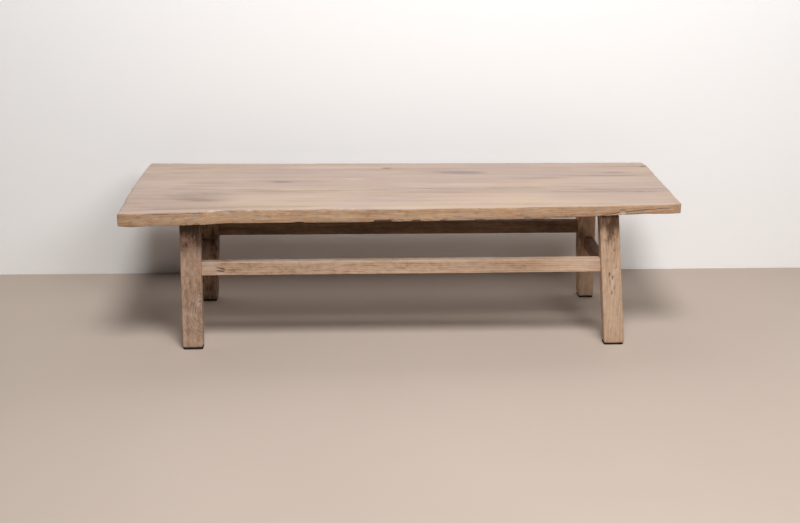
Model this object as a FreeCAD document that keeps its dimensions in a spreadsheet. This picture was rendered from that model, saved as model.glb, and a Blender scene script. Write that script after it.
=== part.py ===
import FreeCAD, Part
import os
import Sketcher

# A low table of old elm for a heated brick bed: two waney boards on four splayed legs,
# tied by two long and two short stretchers. X runs along the table, Y from front to back,
# Z up from the floor, and the origin lies on the floor under the middle of the top.

os.makedirs("parts", exist_ok=True)
doc = FreeCAD.newDocument("kang_table")

# Driving dimensions in millimetres
sizes = {
    # Top: how far each edge stands from the middle, and how far its line wanders
    "table_height": 440,
    "top_length": 1610,
    "top_thickness": 40,
    "front_reach_left": 286,
    "front_reach_right": 218,
    "rear_reach_left": 286,
    "rear_reach_right": 266,
    "front_hollow": 20,
    "rear_hollow": 8,
    "left_end_bow": 7,
    "right_end_skew": 14,
    "top_arris": 3,
    # Bark edge: the underside of the front edge rises towards the right end
    "bark_rise": 15,
    "bark_bevel": 48,
    # Seam between the two boards and the loose tenons across it
    "seam_setback": 18,
    "seam_wander": 38,
    "seam_gap": 0.5,
    "seam_tenon_length": 48,
    "seam_tenon_width": 60,
    "seam_tenon_thickness": 9,
    "seam_tenon_rise": 22,
    # Battens, slid into dovetail housings across both boards from the rear edge
    "batten_overhang": 475,
    "batten_front_setback": 165,
    "batten_rear_inset": 6,
    "batten_width": 52,
    "batten_height": 16,
    "dovetail_neck": 32,
    "dovetail_crest": 42,
    "dovetail_depth": 12,
    "batten_arris": 3,
    # Legs: how far the top hangs over past the middle of each foot, and how far the head
    # leans inwards from it
    "front_left_overhang": 183,
    "front_left_lean": 11,
    "front_right_overhang": 176.5,
    "front_right_lean": 38,
    "rear_left_overhang": 186.5,
    "rear_left_lean": 21,
    "rear_right_overhang": 179.5,
    "rear_right_lean": 22,
    "front_foot_reach": 197.5,
    "rear_foot_reach": 202.5,
    "depth_lean": 13.2,
    "front_foot_width": 62,
    "front_head_width": 58,
    "rear_foot_width": 50,
    "rear_head_width": 59,
    "front_leg_thickness": 38,
    "rear_leg_thickness": 50,
    "leg_arris": 3,
    # Head tenons, blind in the top, each spread by a hidden wedge
    "head_tenon_width": 34,
    "head_tenon_depth": 24,
    "head_tenon_height": 22,
    "head_room": 2,
    "wedge_crest": 5,
    "wedge_tip": 1.5,
    "wedge_height": 14,
    # Long stretchers along the table and short ones across it: their mortises are staggered,
    # so the long ones lie a little above the short ones
    "rail_stagger": 9.5,
    "long_rail_height": 42,
    "long_rail_thickness": 26,
    "long_rail_shift": 3,
    "long_tenon_height": 28,
    "long_tenon_thickness": 10,
    "long_tenon_length": 40,
    "short_rail_bottom": 175,
    "short_rail_height": 40,
    "short_rail_thickness": 26,
    "short_rail_offset": 8,
    "short_tenon_height": 28,
    "short_tenon_thickness": 10,
    "short_tenon_length": 26,
    "rail_arris": 2,
    # Pegs that end a little past the tenons, driven in from faces that are turned away
    "peg_head_radius": 4,
    "peg_tip_radius": 3.6,
    "peg_past": 5,
    "peg_proud": 1,
    # Felt pads under the feet
    "pad_thickness": 5.5,
    "pad_inset": 2,
    "pad_corner": 5,
    # Clearances, and the overrun of every cut past the face that it starts from
    "fit_gap": 0.3,
    "end_gap": 0.6,
    "overrun": 4,
}

sheet = doc.addObject("Spreadsheet::Sheet", "Sizes")
for row, (alias, length) in enumerate(sizes.items(), 1):
    sheet.set(f"A{row}", alias)
    sheet.set(f"B{row}", str(length))
    sheet.setAlias(f"B{row}", alias)
doc.recompute()

# Heights that several pieces share, as expressions on the sheet
SLAB_BOTTOM = "(Sizes.table_height - Sizes.top_thickness)"
LONG_BOTTOM = "(Sizes.short_rail_bottom + Sizes.short_rail_height + Sizes.rail_stagger)"
LONG_MIDDLE = f"({LONG_BOTTOM} + Sizes.long_rail_height / 2)"
SHORT_MIDDLE = "(Sizes.short_rail_bottom + Sizes.short_rail_height / 2)"
PEG_HOLE = "(Sizes.peg_head_radius + Sizes.fit_gap / 2)"

# Left and front are the negative sides of the table, right and rear the positive ones
SIDES = {"left": -1, "right": 1}
DEPTHS = {"front": -1, "rear": 1}

# Outlines of the top, as (share of the half length, share of the edge's own wander)
front_edge_shares = [(-0.985, -0.0245), (-0.95, 0.0), (-0.88, 0.35), (-0.71, 0.37), (-0.645, 1.0),
                     (-0.5, 0.82), (-0.37, 0.68), (-0.195, 0.39), (-0.02, -0.05), (0.16, -0.1),
                     (0.33, -0.25), (0.51, -0.1), (0.69, -0.22), (0.87, -0.16), (0.985, 0.0)]
rear_edge_shares = [(-0.985, -0.01875), (-0.8, 0.5), (-0.4, 1.0), (0.0, 0.87), (0.41, 0.74),
                    (0.82, 0.22), (0.993, 0.05)]
seam_shares = [(-1.0, 0.1), (-0.87, 0.2), (-0.6, 0.62), (-0.25, 1.0), (0.0, 0.75), (0.5, 0.36),
               (0.93, 0.1), (1.0, 0.05)]

# Ends of the top, as (share of the reach of the front or rear edge, share of the end's own wander)
left_front_shares = [(0.93, 0.9), (0.6, 0.5), (0.18, 0.0)]
left_rear_shares = [(0.3, 0.1), (0.6, 0.3), (0.97, 0.8)]
right_front_shares = [(0.95, 0.85), (0.72, 0.75), (0.42, 0.56), (0.3, 0.5)]
right_rear_shares = [(0.12, 0.32), (0.4, 0.28), (0.7, 0.0), (0.98, 0.08)]

# Rise and width of the bark edge, as (share of the half length, share of the full size)
bark_shares = [(-0.37, 0.0), (-0.02, 0.34), (0.5, 0.34), (1.01, 1.0)]

# Where the loose tenons cross the seam, as shares of the half length
seam_tenon_shares = [-0.75, -0.22, 0.2, 0.75]


def between(points, place):
    """The share at a place on a broken line of (place, share) points."""
    for (start, low), (end, high) in zip(points, points[1:]):
        if place <= end:
            return low + (high - low) * (place - start) / (end - start)
    return points[-1][1]


def along(share):
    """X of a place along the top."""
    return f"({share} * Sizes.top_length / 2)"


def front_edge(share, wander):
    """Y of the front edge: a slanted line from end to end, hollowed by its wander."""
    slant = f"(Sizes.front_reach_right - Sizes.front_reach_left) * {(1 + share) / 2}"
    return f"({wander} * Sizes.front_hollow - Sizes.front_reach_left - {slant})"


def rear_edge(share, wander):
    """Y of the rear edge, built in the same way."""
    slant = f"(Sizes.rear_reach_right - Sizes.rear_reach_left) * {(1 + share) / 2}"
    return f"(Sizes.rear_reach_left + {slant} - {wander} * Sizes.rear_hollow)"


def seam_line(share):
    """Y of the middle of the seam."""
    return f"(-Sizes.seam_setback - {between(seam_shares, share)} * Sizes.seam_wander)"


def left_end(wander):
    return f"({wander} * Sizes.left_end_bow - Sizes.top_length / 2)"


def right_end(wander):
    return f"(Sizes.top_length / 2 - {wander} * Sizes.right_end_skew)"


def centre_x(depth, side, height):
    """X of a leg's centre line at a height."""
    leg = f"Sizes.{depth}_{side}"
    rise = f"({height} - Sizes.pad_thickness) / ({SLAB_BOTTOM} - Sizes.pad_thickness)"
    return f"({SIDES[side]} * (Sizes.top_length / 2 - {leg}_overhang - {leg}_lean * {rise}))"


def centre_y(depth, height):
    """Y of a leg's centre line at a height."""
    rise = f"({height} - Sizes.pad_thickness) / ({SLAB_BOTTOM} - Sizes.pad_thickness)"
    return f"({DEPTHS[depth]} * (Sizes.{depth}_foot_reach - Sizes.depth_lean * {rise}))"


def leg_width(depth, height):
    """Width of a leg along the table at a height."""
    rise = f"({height} - Sizes.pad_thickness) / ({SLAB_BOTTOM} - Sizes.pad_thickness)"
    foot = f"Sizes.{depth}_foot_width"
    return f"({foot} + (Sizes.{depth}_head_width - {foot}) * {rise})"


def inner_face_x(depth, side, height):
    """X of the leg face that is turned to the middle of the table."""
    return f"({centre_x(depth, side, height)} - {SIDES[side]} * {leg_width(depth, height)} / 2)"


def inner_face_y(depth, height):
    """Y of the leg face that is turned to the middle of the table."""
    return f"({centre_y(depth, height)} - {DEPTHS[depth]} * Sizes.{depth}_leg_thickness / 2)"


def long_rail_y(depth):
    """Y of a long stretcher: the middle of its legs at its height, set a little to the rear."""
    return f"({centre_y(depth, LONG_MIDDLE)} + Sizes.long_rail_shift)"


def short_rail_x(side):
    """X of a short stretcher: the mean of its two legs at its height, set a little outwards."""
    front = centre_x("front", side, SHORT_MIDDLE)
    rear = centre_x("rear", side, SHORT_MIDDLE)
    return f"(({front} + {rear}) / 2 + {SIDES[side]} * Sizes.short_rail_offset)"


def batten_x(side):
    """X of a batten, held back from its end of the top."""
    return f"({SIDES[side]} * (Sizes.top_length / 2 - Sizes.batten_overhang))"


def add_body(label):
    body = doc.addObject("PartDesign::Body", label)
    body.Label = label
    return body


def put(piece, x="0", y="0", z="0"):
    """Bind the place of a piece to the sheet."""
    piece.setExpression("Placement.Base.x", x)
    piece.setExpression("Placement.Base.y", y)
    piece.setExpression("Placement.Base.z", z)


def add_sketch(body, name, role, offset, x="0", y="0"):
    """A sketch on one of the body's own origin planes, moved along its normal and in its plane."""
    sketch = body.newObject("Sketcher::SketchObject", name)
    plane = next(feature for feature in body.Origin.OriginFeatures if feature.Role == role)
    sketch.AttachmentSupport = [(plane, "")]
    sketch.MapMode = "FlatFace"
    sketch.setExpression("AttachmentOffset.Base.x", x)
    sketch.setExpression("AttachmentOffset.Base.y", y)
    sketch.setExpression("AttachmentOffset.Base.z", offset)
    return sketch


def draw_lines(sketch, corners):
    """Closed run of lines through corners that are given as vectors."""
    count = len(corners)
    for number in range(count):
        line = Part.LineSegment(corners[number], corners[(number + 1) % count])
        sketch.addGeometry(line, False)
    for number in range(count):
        sketch.addConstraint(Sketcher.Constraint("Coincident", number, 2, (number + 1) % count, 1))


def draw_outline(sketch, points):
    """Closed outline whose corners are pairs of expressions, each held from the sketch's origin."""
    corners = [FreeCAD.Vector(sketch.evalExpression(x), sketch.evalExpression(y), 0) for x, y in points]
    draw_lines(sketch, corners)
    for number, (x, y) in enumerate(points):
        across = Sketcher.Constraint("DistanceX", -1, 1, number, 1, corners[number].x)
        sketch.setExpression(f"Constraints[{sketch.addConstraint(across)}]", x)
        upward = Sketcher.Constraint("DistanceY", -1, 1, number, 1, corners[number].y)
        sketch.setExpression(f"Constraints[{sketch.addConstraint(upward)}]", y)


def draw_rectangle(sketch, width, height):
    """Rectangle about the sketch's origin."""
    half_width = sketch.evalExpression(width) / 2
    half_height = sketch.evalExpression(height) / 2
    signs = ((-1, -1), (1, -1), (1, 1), (-1, 1))
    draw_lines(sketch, [FreeCAD.Vector(x * half_width, y * half_height, 0) for x, y in signs])
    for number in (0, 2):
        sketch.addConstraint(Sketcher.Constraint("Horizontal", number))
        sketch.addConstraint(Sketcher.Constraint("Vertical", number + 1))
    sketch.addConstraint(Sketcher.Constraint("Symmetric", 0, 1, 2, 1, -1, 1))
    across = Sketcher.Constraint("DistanceX", 0, 1, 0, 2, 2 * half_width)
    sketch.setExpression(f"Constraints[{sketch.addConstraint(across)}]", width)
    upward = Sketcher.Constraint("DistanceY", 1, 1, 1, 2, 2 * half_height)
    sketch.setExpression(f"Constraints[{sketch.addConstraint(upward)}]", height)


def draw_section(sketch, width, height, arris):
    """Rectangle about the sketch's origin with its corners cut off."""
    half_width, half_height = f"({width}) / 2", f"({height}) / 2"
    corner = [(f"{half_width} - {arris}", half_height), (half_width, f"{half_height} - {arris}")]
    lower_right = [(x, f"-({y})") for x, y in reversed(corner)]
    lower_left = [(f"-({x})", f"-({y})") for x, y in corner]
    upper_left = [(f"-({x})", y) for x, y in reversed(corner)]
    draw_outline(sketch, corner + lower_right + lower_left + upper_left)


def draw_circle(sketch, radius):
    """Circle about the sketch's origin."""
    size = sketch.evalExpression(radius)
    sketch.addGeometry(Part.Circle(FreeCAD.Vector(0, 0, 0), FreeCAD.Vector(0, 0, 1), size), False)
    sketch.addConstraint(Sketcher.Constraint("Coincident", 0, 3, -1, 1))
    held = sketch.addConstraint(Sketcher.Constraint("Radius", 0, size))
    sketch.setExpression(f"Constraints[{held}]", radius)


def add_pad(body, name, sketch, length, backwards=False):
    pad = body.newObject("PartDesign::Pad", name)
    pad.Profile = sketch
    pad.Reversed = backwards
    pad.setExpression("Length", length)
    return pad


def add_pocket(body, name, sketch, length, forwards=False):
    """Pocket against the sketch's normal, or along it when it goes forwards."""
    pocket = body.newObject("PartDesign::Pocket", name)
    pocket.Profile = sketch
    pocket.Reversed = forwards
    pocket.setExpression("Length", length)
    return pocket


def add_chamfer(body, base, wanted, size):
    """Chamfer on the edges of the last feature that a test on their two ends picks."""
    doc.recompute()
    names = []
    for number, edge in enumerate(base.Shape.Edges, 1):
        ends = [vertex.Point for vertex in edge.Vertexes]
        if len(ends) == 2 and wanted(*ends):
            names.append(f"Edge{number}")
    chamfer = body.newObject("PartDesign::Chamfer", "Arris")
    chamfer.Base = (base, names)
    chamfer.setExpression("Size", size)
    return chamfer


# Top boards, in one frame whose zero height is the underside of the top

front_edge_line = [(along(share), front_edge(share, wander)) for share, wander in front_edge_shares]
rear_edge_line = [(along(share), rear_edge(share, wander)) for share, wander in rear_edge_shares]


def seam_side(depth):
    """The seam from left to right, half a gap towards the board that it bounds."""
    points = []
    for share, _ in seam_shares:
        x = along(share)
        if share == seam_shares[0][0]:
            x = left_end(left_front_shares[-1][1])
        if share == seam_shares[-1][0]:
            x = right_end(right_front_shares[-1][1])
        points.append((x, f"{seam_line(share)} + {DEPTHS[depth]} * Sizes.seam_gap / 2"))
    return points


def end_points(shares, end, edge, corner):
    """Points of one end of one board: places along the reach of an edge, and the end's wander."""
    reach = edge(corner, 0)
    return [(end(wander), f"({share} * {reach})") for share, wander in shares]


front_left_end = end_points(left_front_shares, left_end, front_edge, -1)
front_right_end = end_points(right_front_shares, right_end, front_edge, 1)
rear_left_end = end_points(left_rear_shares, left_end, rear_edge, -1)
rear_right_end = end_points(right_rear_shares, right_end, rear_edge, 1)

front_outline = front_edge_line + front_right_end + seam_side("front")[::-1] + front_left_end[::-1]
rear_outline = seam_side("rear") + rear_right_end + rear_edge_line[::-1] + rear_left_end[::-1]


def cut_head_mortise(board, depth, side):
    """Blind mortise for a leg's head tenon, from below."""
    head_x = centre_x(depth, side, SLAB_BOTTOM)
    head_y = centre_y(depth, SLAB_BOTTOM)
    sketch = add_sketch(board, f"HeadMortise_{side}", "XY_Plane", "-Sizes.overrun", head_x, head_y)
    draw_rectangle(sketch, "Sizes.head_tenon_width + 2 * Sizes.fit_gap",
                   "Sizes.head_tenon_depth + 2 * Sizes.fit_gap")
    depth_up = "Sizes.overrun + Sizes.head_tenon_height + Sizes.head_room"
    add_pocket(board, f"HeadPocket_{side}", sketch, depth_up, forwards=True)


def cut_housing(board, side):
    """Dovetail housing for a batten, open at the rear edge, stopped behind the front edge."""
    stop = "Sizes.batten_front_setback + Sizes.end_gap"
    sketch = add_sketch(board, f"Housing_{side}", "XZ_Plane", stop, batten_x(side))
    neck = "(Sizes.dovetail_neck / 2 + Sizes.fit_gap)"
    crest = "(Sizes.dovetail_crest / 2 + Sizes.fit_gap)"
    flare = f"({crest} - {neck}) / Sizes.dovetail_depth * Sizes.overrun"
    mouth = f"({neck} - {flare})"
    roof = "Sizes.dovetail_depth + Sizes.fit_gap"
    draw_outline(sketch, [(f"-{mouth}", "-Sizes.overrun"), (mouth, "-Sizes.overrun"),
                          (crest, roof), (f"-{crest}", roof)])
    run = "Sizes.batten_front_setback + Sizes.rear_reach_left + Sizes.overrun"
    add_pocket(board, f"HousingPocket_{side}", sketch, run)


def cut_seam_mortise(board, depth, number, share):
    """Mortise for one loose tenon, sunk into the board's seam edge."""
    behind = f"{seam_line(share)} - {DEPTHS[depth]} * Sizes.overrun"
    sketch = add_sketch(board, f"SeamMortise_{number}", "XZ_Plane", f"-({behind})",
                        along(share), "Sizes.seam_tenon_rise")
    draw_rectangle(sketch, "Sizes.seam_tenon_width + 2 * Sizes.fit_gap",
                   "Sizes.seam_tenon_thickness + 2 * Sizes.fit_gap")
    sunk = "Sizes.overrun + Sizes.seam_tenon_length / 2 + Sizes.end_gap"
    add_pocket(board, f"SeamPocket_{number}", sketch, sunk, forwards=depth == "front")


def cut_bark_edge(board):
    """Rising underside of the front edge, through stations along the board."""
    stations = []
    for number, (share, rise) in enumerate(bark_shares):
        sketch = add_sketch(board, f"BarkStation_{number}", "YZ_Plane", along(share))
        edge = front_edge(share, between(front_edge_shares, share))
        out = f"({edge} - Sizes.bark_bevel)"
        back = f"({edge} + {rise} * Sizes.bark_bevel)"
        draw_outline(sketch, [(out, "-Sizes.overrun"), (back, "-Sizes.overrun"),
                              (back, "0"), (out, f"{1 + rise} * Sizes.bark_rise")])
        stations.append(sketch)
    loft = board.newObject("PartDesign::SubtractiveLoft", "BarkEdge")
    loft.Profile = stations[0]
    loft.Sections = stations[1:]
    loft.Ruled = True


def make_board(depth, outline):
    board = add_body(f"top_board_{depth}")
    put(board, z=SLAB_BOTTOM)
    sketch = add_sketch(board, "Outline", "XY_Plane", "0")
    draw_outline(sketch, outline)
    slab = add_pad(board, "Slab", sketch, "Sizes.top_thickness")
    seam_corners = [FreeCAD.Vector(board.evalExpression(x), board.evalExpression(y), sizes["top_thickness"])
                    for x, y in seam_side(depth)]

    def is_seam_corner(point):
        return min(point.distanceToPoint(corner) for corner in seam_corners) < sizes["fit_gap"]

    def on_top_rim(start, end):
        """Upper edges, but for those of the seam."""
        level = sizes["top_thickness"] - sizes["fit_gap"]
        return min(start.z, end.z) > level and not (is_seam_corner(start) and is_seam_corner(end))

    add_chamfer(board, slab, on_top_rim, "Sizes.top_arris")
    if depth == "front":
        cut_bark_edge(board)
    for side in SIDES:
        cut_head_mortise(board, depth, side)
        cut_housing(board, side)
    for number, share in enumerate(seam_tenon_shares, 1):
        cut_seam_mortise(board, depth, number, share)
    return board


def make_seam_tenon(number, share):
    """Loose tenon that lies across the seam."""
    tenon = add_body(f"seam_tenon_{number}")
    start = f"{seam_line(share)} - Sizes.seam_tenon_length / 2"
    put(tenon, along(share), start, f"{SLAB_BOTTOM} + Sizes.seam_tenon_rise")
    sketch = add_sketch(tenon, "Section", "XZ_Plane", "0")
    draw_rectangle(sketch, "Sizes.seam_tenon_width", "Sizes.seam_tenon_thickness")
    add_pad(tenon, "Bar", sketch, "Sizes.seam_tenon_length", backwards=True)
    return tenon


def make_batten(side):
    """Batten with a dovetail along its top, from its stop to just short of the rear edge."""
    batten = add_body(f"batten_{side}")
    put(batten, batten_x(side), "-Sizes.batten_front_setback", SLAB_BOTTOM)
    half, neck, crest = "Sizes.batten_width / 2", "Sizes.dovetail_neck / 2", "Sizes.dovetail_crest / 2"
    right = [(half, "-Sizes.batten_height"), (half, "0"), (neck, "0"), (crest, "Sizes.dovetail_depth")]
    left = [(f"-{x}", z) for x, z in reversed(right)]
    sketch = add_sketch(batten, "Section", "XZ_Plane", "0")
    draw_outline(sketch, right + left)
    end = "Sizes.rear_reach_right - Sizes.rear_hollow - Sizes.batten_rear_inset"
    bar = add_pad(batten, "Bar", sketch, f"Sizes.batten_front_setback + {end}", backwards=True)

    def is_lower_edge(start, end):
        return max(start.z, end.z) < -sizes["batten_height"] / 2

    add_chamfer(batten, bar, is_lower_edge, "Sizes.batten_arris")
    return batten


# Legs, each in a frame of its own with its origin at the middle of the foot

FOOT = "Sizes.pad_thickness"
HEAD_RISE = f"({SLAB_BOTTOM} - {FOOT})"
WEDGE_TAPER = "(Sizes.wedge_crest - Sizes.wedge_tip) / Sizes.wedge_height"


def long_peg_x(depth, side):
    """X of the peg through a long stretcher's tenon, half way along it."""
    return f"({inner_face_x(depth, side, LONG_MIDDLE)} + {SIDES[side]} * Sizes.long_tenon_length / 2)"


def long_peg_y(depth):
    """Y of the leg's rear face at the long stretcher."""
    return f"({centre_y(depth, LONG_MIDDLE)} + Sizes.{depth}_leg_thickness / 2)"


def long_peg_depth(depth):
    """From the leg's rear face to a little past the long stretcher's tenon."""
    return (f"({long_peg_y(depth)} - {long_rail_y(depth)} + Sizes.long_tenon_thickness / 2"
            " + Sizes.peg_past)")


def short_peg_x(depth, side):
    """X of the leg's outer face at the short stretcher."""
    half = f"{leg_width(depth, SHORT_MIDDLE)} / 2"
    return f"({centre_x(depth, side, SHORT_MIDDLE)} + {SIDES[side]} * {half})"


def short_peg_depth(depth, side):
    """From the leg's outer face to a little past the short stretcher's tenon."""
    return (f"({SIDES[side]} * ({short_peg_x(depth, side)} - {short_rail_x(side)})"
            " + Sizes.short_tenon_thickness / 2 + Sizes.peg_past)")


def short_peg_y(depth):
    """Y of the peg through a short stretcher's tenon, half way along it."""
    return f"({inner_face_y(depth, SHORT_MIDDLE)} + {DEPTHS[depth]} * Sizes.short_tenon_length / 2)"


def cut_rail_mortises(leg, depth, side, foot_x, foot_y):
    """Blind mortises for the long and the short stretcher, at different heights."""
    inner_x = inner_face_x(depth, side, LONG_MIDDLE)
    sketch = add_sketch(leg, "LongMortise", "YZ_Plane",
                        f"{inner_x} - {foot_x} - {SIDES[side]} * Sizes.overrun",
                        f"{long_rail_y(depth)} - {foot_y}", f"{LONG_MIDDLE} - {FOOT}")
    draw_rectangle(sketch, "Sizes.long_tenon_thickness + 2 * Sizes.fit_gap",
                   "Sizes.long_tenon_height + 2 * Sizes.fit_gap")
    sunk = "Sizes.overrun + Sizes.long_tenon_length + Sizes.end_gap"
    add_pocket(leg, "LongPocket", sketch, sunk, forwards=side == "right")

    inner_y = inner_face_y(depth, SHORT_MIDDLE)
    sketch = add_sketch(leg, "ShortMortise", "XZ_Plane",
                        f"-({inner_y} - {foot_y} - {DEPTHS[depth]} * Sizes.overrun)",
                        f"{short_rail_x(side)} - {foot_x}", f"{SHORT_MIDDLE} - {FOOT}")
    draw_rectangle(sketch, "Sizes.short_tenon_thickness + 2 * Sizes.fit_gap",
                   "Sizes.short_tenon_height + 2 * Sizes.fit_gap")
    sunk = "Sizes.overrun + Sizes.short_tenon_length + Sizes.end_gap"
    add_pocket(leg, "ShortPocket", sketch, sunk, forwards=depth == "front")


def cut_peg_holes(leg, depth, side, foot_x, foot_y):
    """Blind holes for the pegs, from the rear face and from the outer face."""
    head_y = long_peg_y(depth)
    sketch = add_sketch(leg, "LongPegHole", "XZ_Plane", f"-({head_y} - {foot_y} + Sizes.overrun)",
                        f"{long_peg_x(depth, side)} - {foot_x}", f"{LONG_MIDDLE} - {FOOT}")
    draw_circle(sketch, PEG_HOLE)
    add_pocket(leg, "LongPegPocket", sketch, f"Sizes.overrun + {long_peg_depth(depth)} + Sizes.end_gap",
               forwards=True)

    head_x = short_peg_x(depth, side)
    sketch = add_sketch(leg, "ShortPegHole", "YZ_Plane",
                        f"{head_x} - {foot_x} + {SIDES[side]} * Sizes.overrun",
                        f"{short_peg_y(depth)} - {foot_y}", f"{SHORT_MIDDLE} - {FOOT}")
    draw_circle(sketch, PEG_HOLE)
    add_pocket(leg, "ShortPegPocket", sketch,
               f"Sizes.overrun + {short_peg_depth(depth, side)} + Sizes.end_gap", forwards=side == "left")


def make_leg(depth, side):
    """Splayed post on a level foot, with a level shoulder and an upright tenon at its head."""
    leg = add_body(f"leg_{depth}_{side}")
    foot_x = centre_x(depth, side, FOOT)
    foot_y = centre_y(depth, FOOT)
    head_x = f"({centre_x(depth, side, SLAB_BOTTOM)} - {foot_x})"
    head_y = f"({centre_y(depth, SLAB_BOTTOM)} - {foot_y})"
    thickness = f"Sizes.{depth}_leg_thickness"
    put(leg, foot_x, foot_y, FOOT)

    foot = add_sketch(leg, "Foot", "XY_Plane", "0")
    draw_section(foot, f"Sizes.{depth}_foot_width", thickness, "Sizes.leg_arris")
    shoulder = add_sketch(leg, "Shoulder", "XY_Plane", HEAD_RISE, head_x, head_y)
    draw_section(shoulder, f"Sizes.{depth}_head_width", thickness, "Sizes.leg_arris")
    post = leg.newObject("PartDesign::AdditiveLoft", "Post")
    post.Profile = foot
    post.Sections = [shoulder]
    post.Ruled = True

    tenon = add_sketch(leg, "HeadTenon", "XY_Plane", HEAD_RISE, head_x, head_y)
    draw_rectangle(tenon, "Sizes.head_tenon_width", "Sizes.head_tenon_depth")
    add_pad(leg, "Tenon", tenon, "Sizes.head_tenon_height")

    kerf = add_sketch(leg, "Kerf", "XZ_Plane", f"-({head_y} - Sizes.head_tenon_depth / 2 - Sizes.overrun)",
                      head_x, f"{HEAD_RISE} + Sizes.head_tenon_height")
    mouth = f"((Sizes.wedge_crest - {WEDGE_TAPER} * Sizes.head_room) / 2 + Sizes.fit_gap)"
    tip = "(Sizes.wedge_tip / 2 + Sizes.fit_gap)"
    bottom = "(Sizes.head_room - Sizes.wedge_height - Sizes.end_gap)"
    draw_outline(kerf, [(f"-{tip}", bottom), (tip, bottom), (mouth, "0"), (f"-{mouth}", "0")])
    add_pocket(leg, "KerfPocket", kerf, "Sizes.head_tenon_depth + 2 * Sizes.overrun")

    cut_rail_mortises(leg, depth, side, foot_x, foot_y)
    cut_peg_holes(leg, depth, side, foot_x, foot_y)
    return leg


def make_wedge(depth, side):
    """Hidden wedge that stands on the end of the head mortise and spreads the tenon's kerf."""
    wedge = add_body(f"wedge_{depth}_{side}")
    put(wedge, centre_x(depth, side, SLAB_BOTTOM), centre_y(depth, SLAB_BOTTOM),
        f"{SLAB_BOTTOM} + Sizes.head_tenon_height + Sizes.head_room")
    sketch = add_sketch(wedge, "Section", "XZ_Plane", "-Sizes.head_tenon_depth / 2")
    tip, crest, foot = "Sizes.wedge_tip / 2", "Sizes.wedge_crest / 2", "-Sizes.wedge_height"
    draw_outline(sketch, [(f"-{tip}", foot), (tip, foot), (crest, "0"), (f"-{crest}", "0")])
    add_pad(wedge, "Bar", sketch, "Sizes.head_tenon_depth")
    return wedge


def make_foot_pad(depth, side):
    """Felt pad under a foot, a little smaller than the foot."""
    pad = add_body(f"foot_pad_{depth}_{side}")
    put(pad, centre_x(depth, side, FOOT), centre_y(depth, FOOT))
    sketch = add_sketch(pad, "Outline", "XY_Plane", "0")
    draw_rectangle(sketch, f"Sizes.{depth}_foot_width - 2 * Sizes.pad_inset",
                   f"Sizes.{depth}_leg_thickness - 2 * Sizes.pad_inset")
    felt = add_pad(pad, "Felt", sketch, "Sizes.pad_thickness")
    doc.recompute()
    upright = [f"Edge{number}" for number, edge in enumerate(felt.Shape.Edges, 1)
               if abs(edge.tangentAt(edge.FirstParameter).z) == 1]
    fillet = pad.newObject("PartDesign::Fillet", "Corners")
    fillet.Base = (felt, upright)
    fillet.setExpression("Radius", "Sizes.pad_corner")
    return pad


# Stretchers, shouldered against the legs' slanted faces

def make_long_rail(depth):
    rail = add_body(f"stretcher_{depth}")
    put(rail, "0", long_rail_y(depth), LONG_BOTTOM)
    low, high = LONG_BOTTOM, f"({LONG_BOTTOM} + Sizes.long_rail_height)"

    def shoulder(side, height):
        return f"{inner_face_x(depth, side, height)} - {SIDES[side]} * Sizes.fit_gap"

    sketch = add_sketch(rail, "Face", "XZ_Plane", "-Sizes.long_rail_thickness / 2")
    draw_outline(sketch, [(shoulder("left", low), "0"), (shoulder("right", low), "0"),
                          (shoulder("right", high), "Sizes.long_rail_height"),
                          (shoulder("left", high), "Sizes.long_rail_height")])
    bar = add_pad(rail, "Bar", sketch, "Sizes.long_rail_thickness")
    add_chamfer(rail, bar, lambda start, end: abs(end.x - start.x) > sizes["long_rail_height"],
                "Sizes.rail_arris")

    ends = {side: f"({inner_face_x(depth, side, LONG_MIDDLE)} + {SIDES[side]} * Sizes.long_tenon_length)"
            for side in SIDES}
    section = add_sketch(rail, "TenonSection", "YZ_Plane", ends["left"], "0", "Sizes.long_rail_height / 2")
    draw_rectangle(section, "Sizes.long_tenon_thickness", "Sizes.long_tenon_height")
    add_pad(rail, "Tenons", section, f"{ends['right']} - {ends['left']}")
    for side in SIDES:
        hole = add_sketch(rail, f"PegHole_{side}", "XZ_Plane", "Sizes.long_rail_thickness / 2",
                          long_peg_x(depth, side), "Sizes.long_rail_height / 2")
        draw_circle(hole, PEG_HOLE)
        add_pocket(rail, f"PegPocket_{side}", hole, "Sizes.long_rail_thickness")
    return rail


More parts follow.
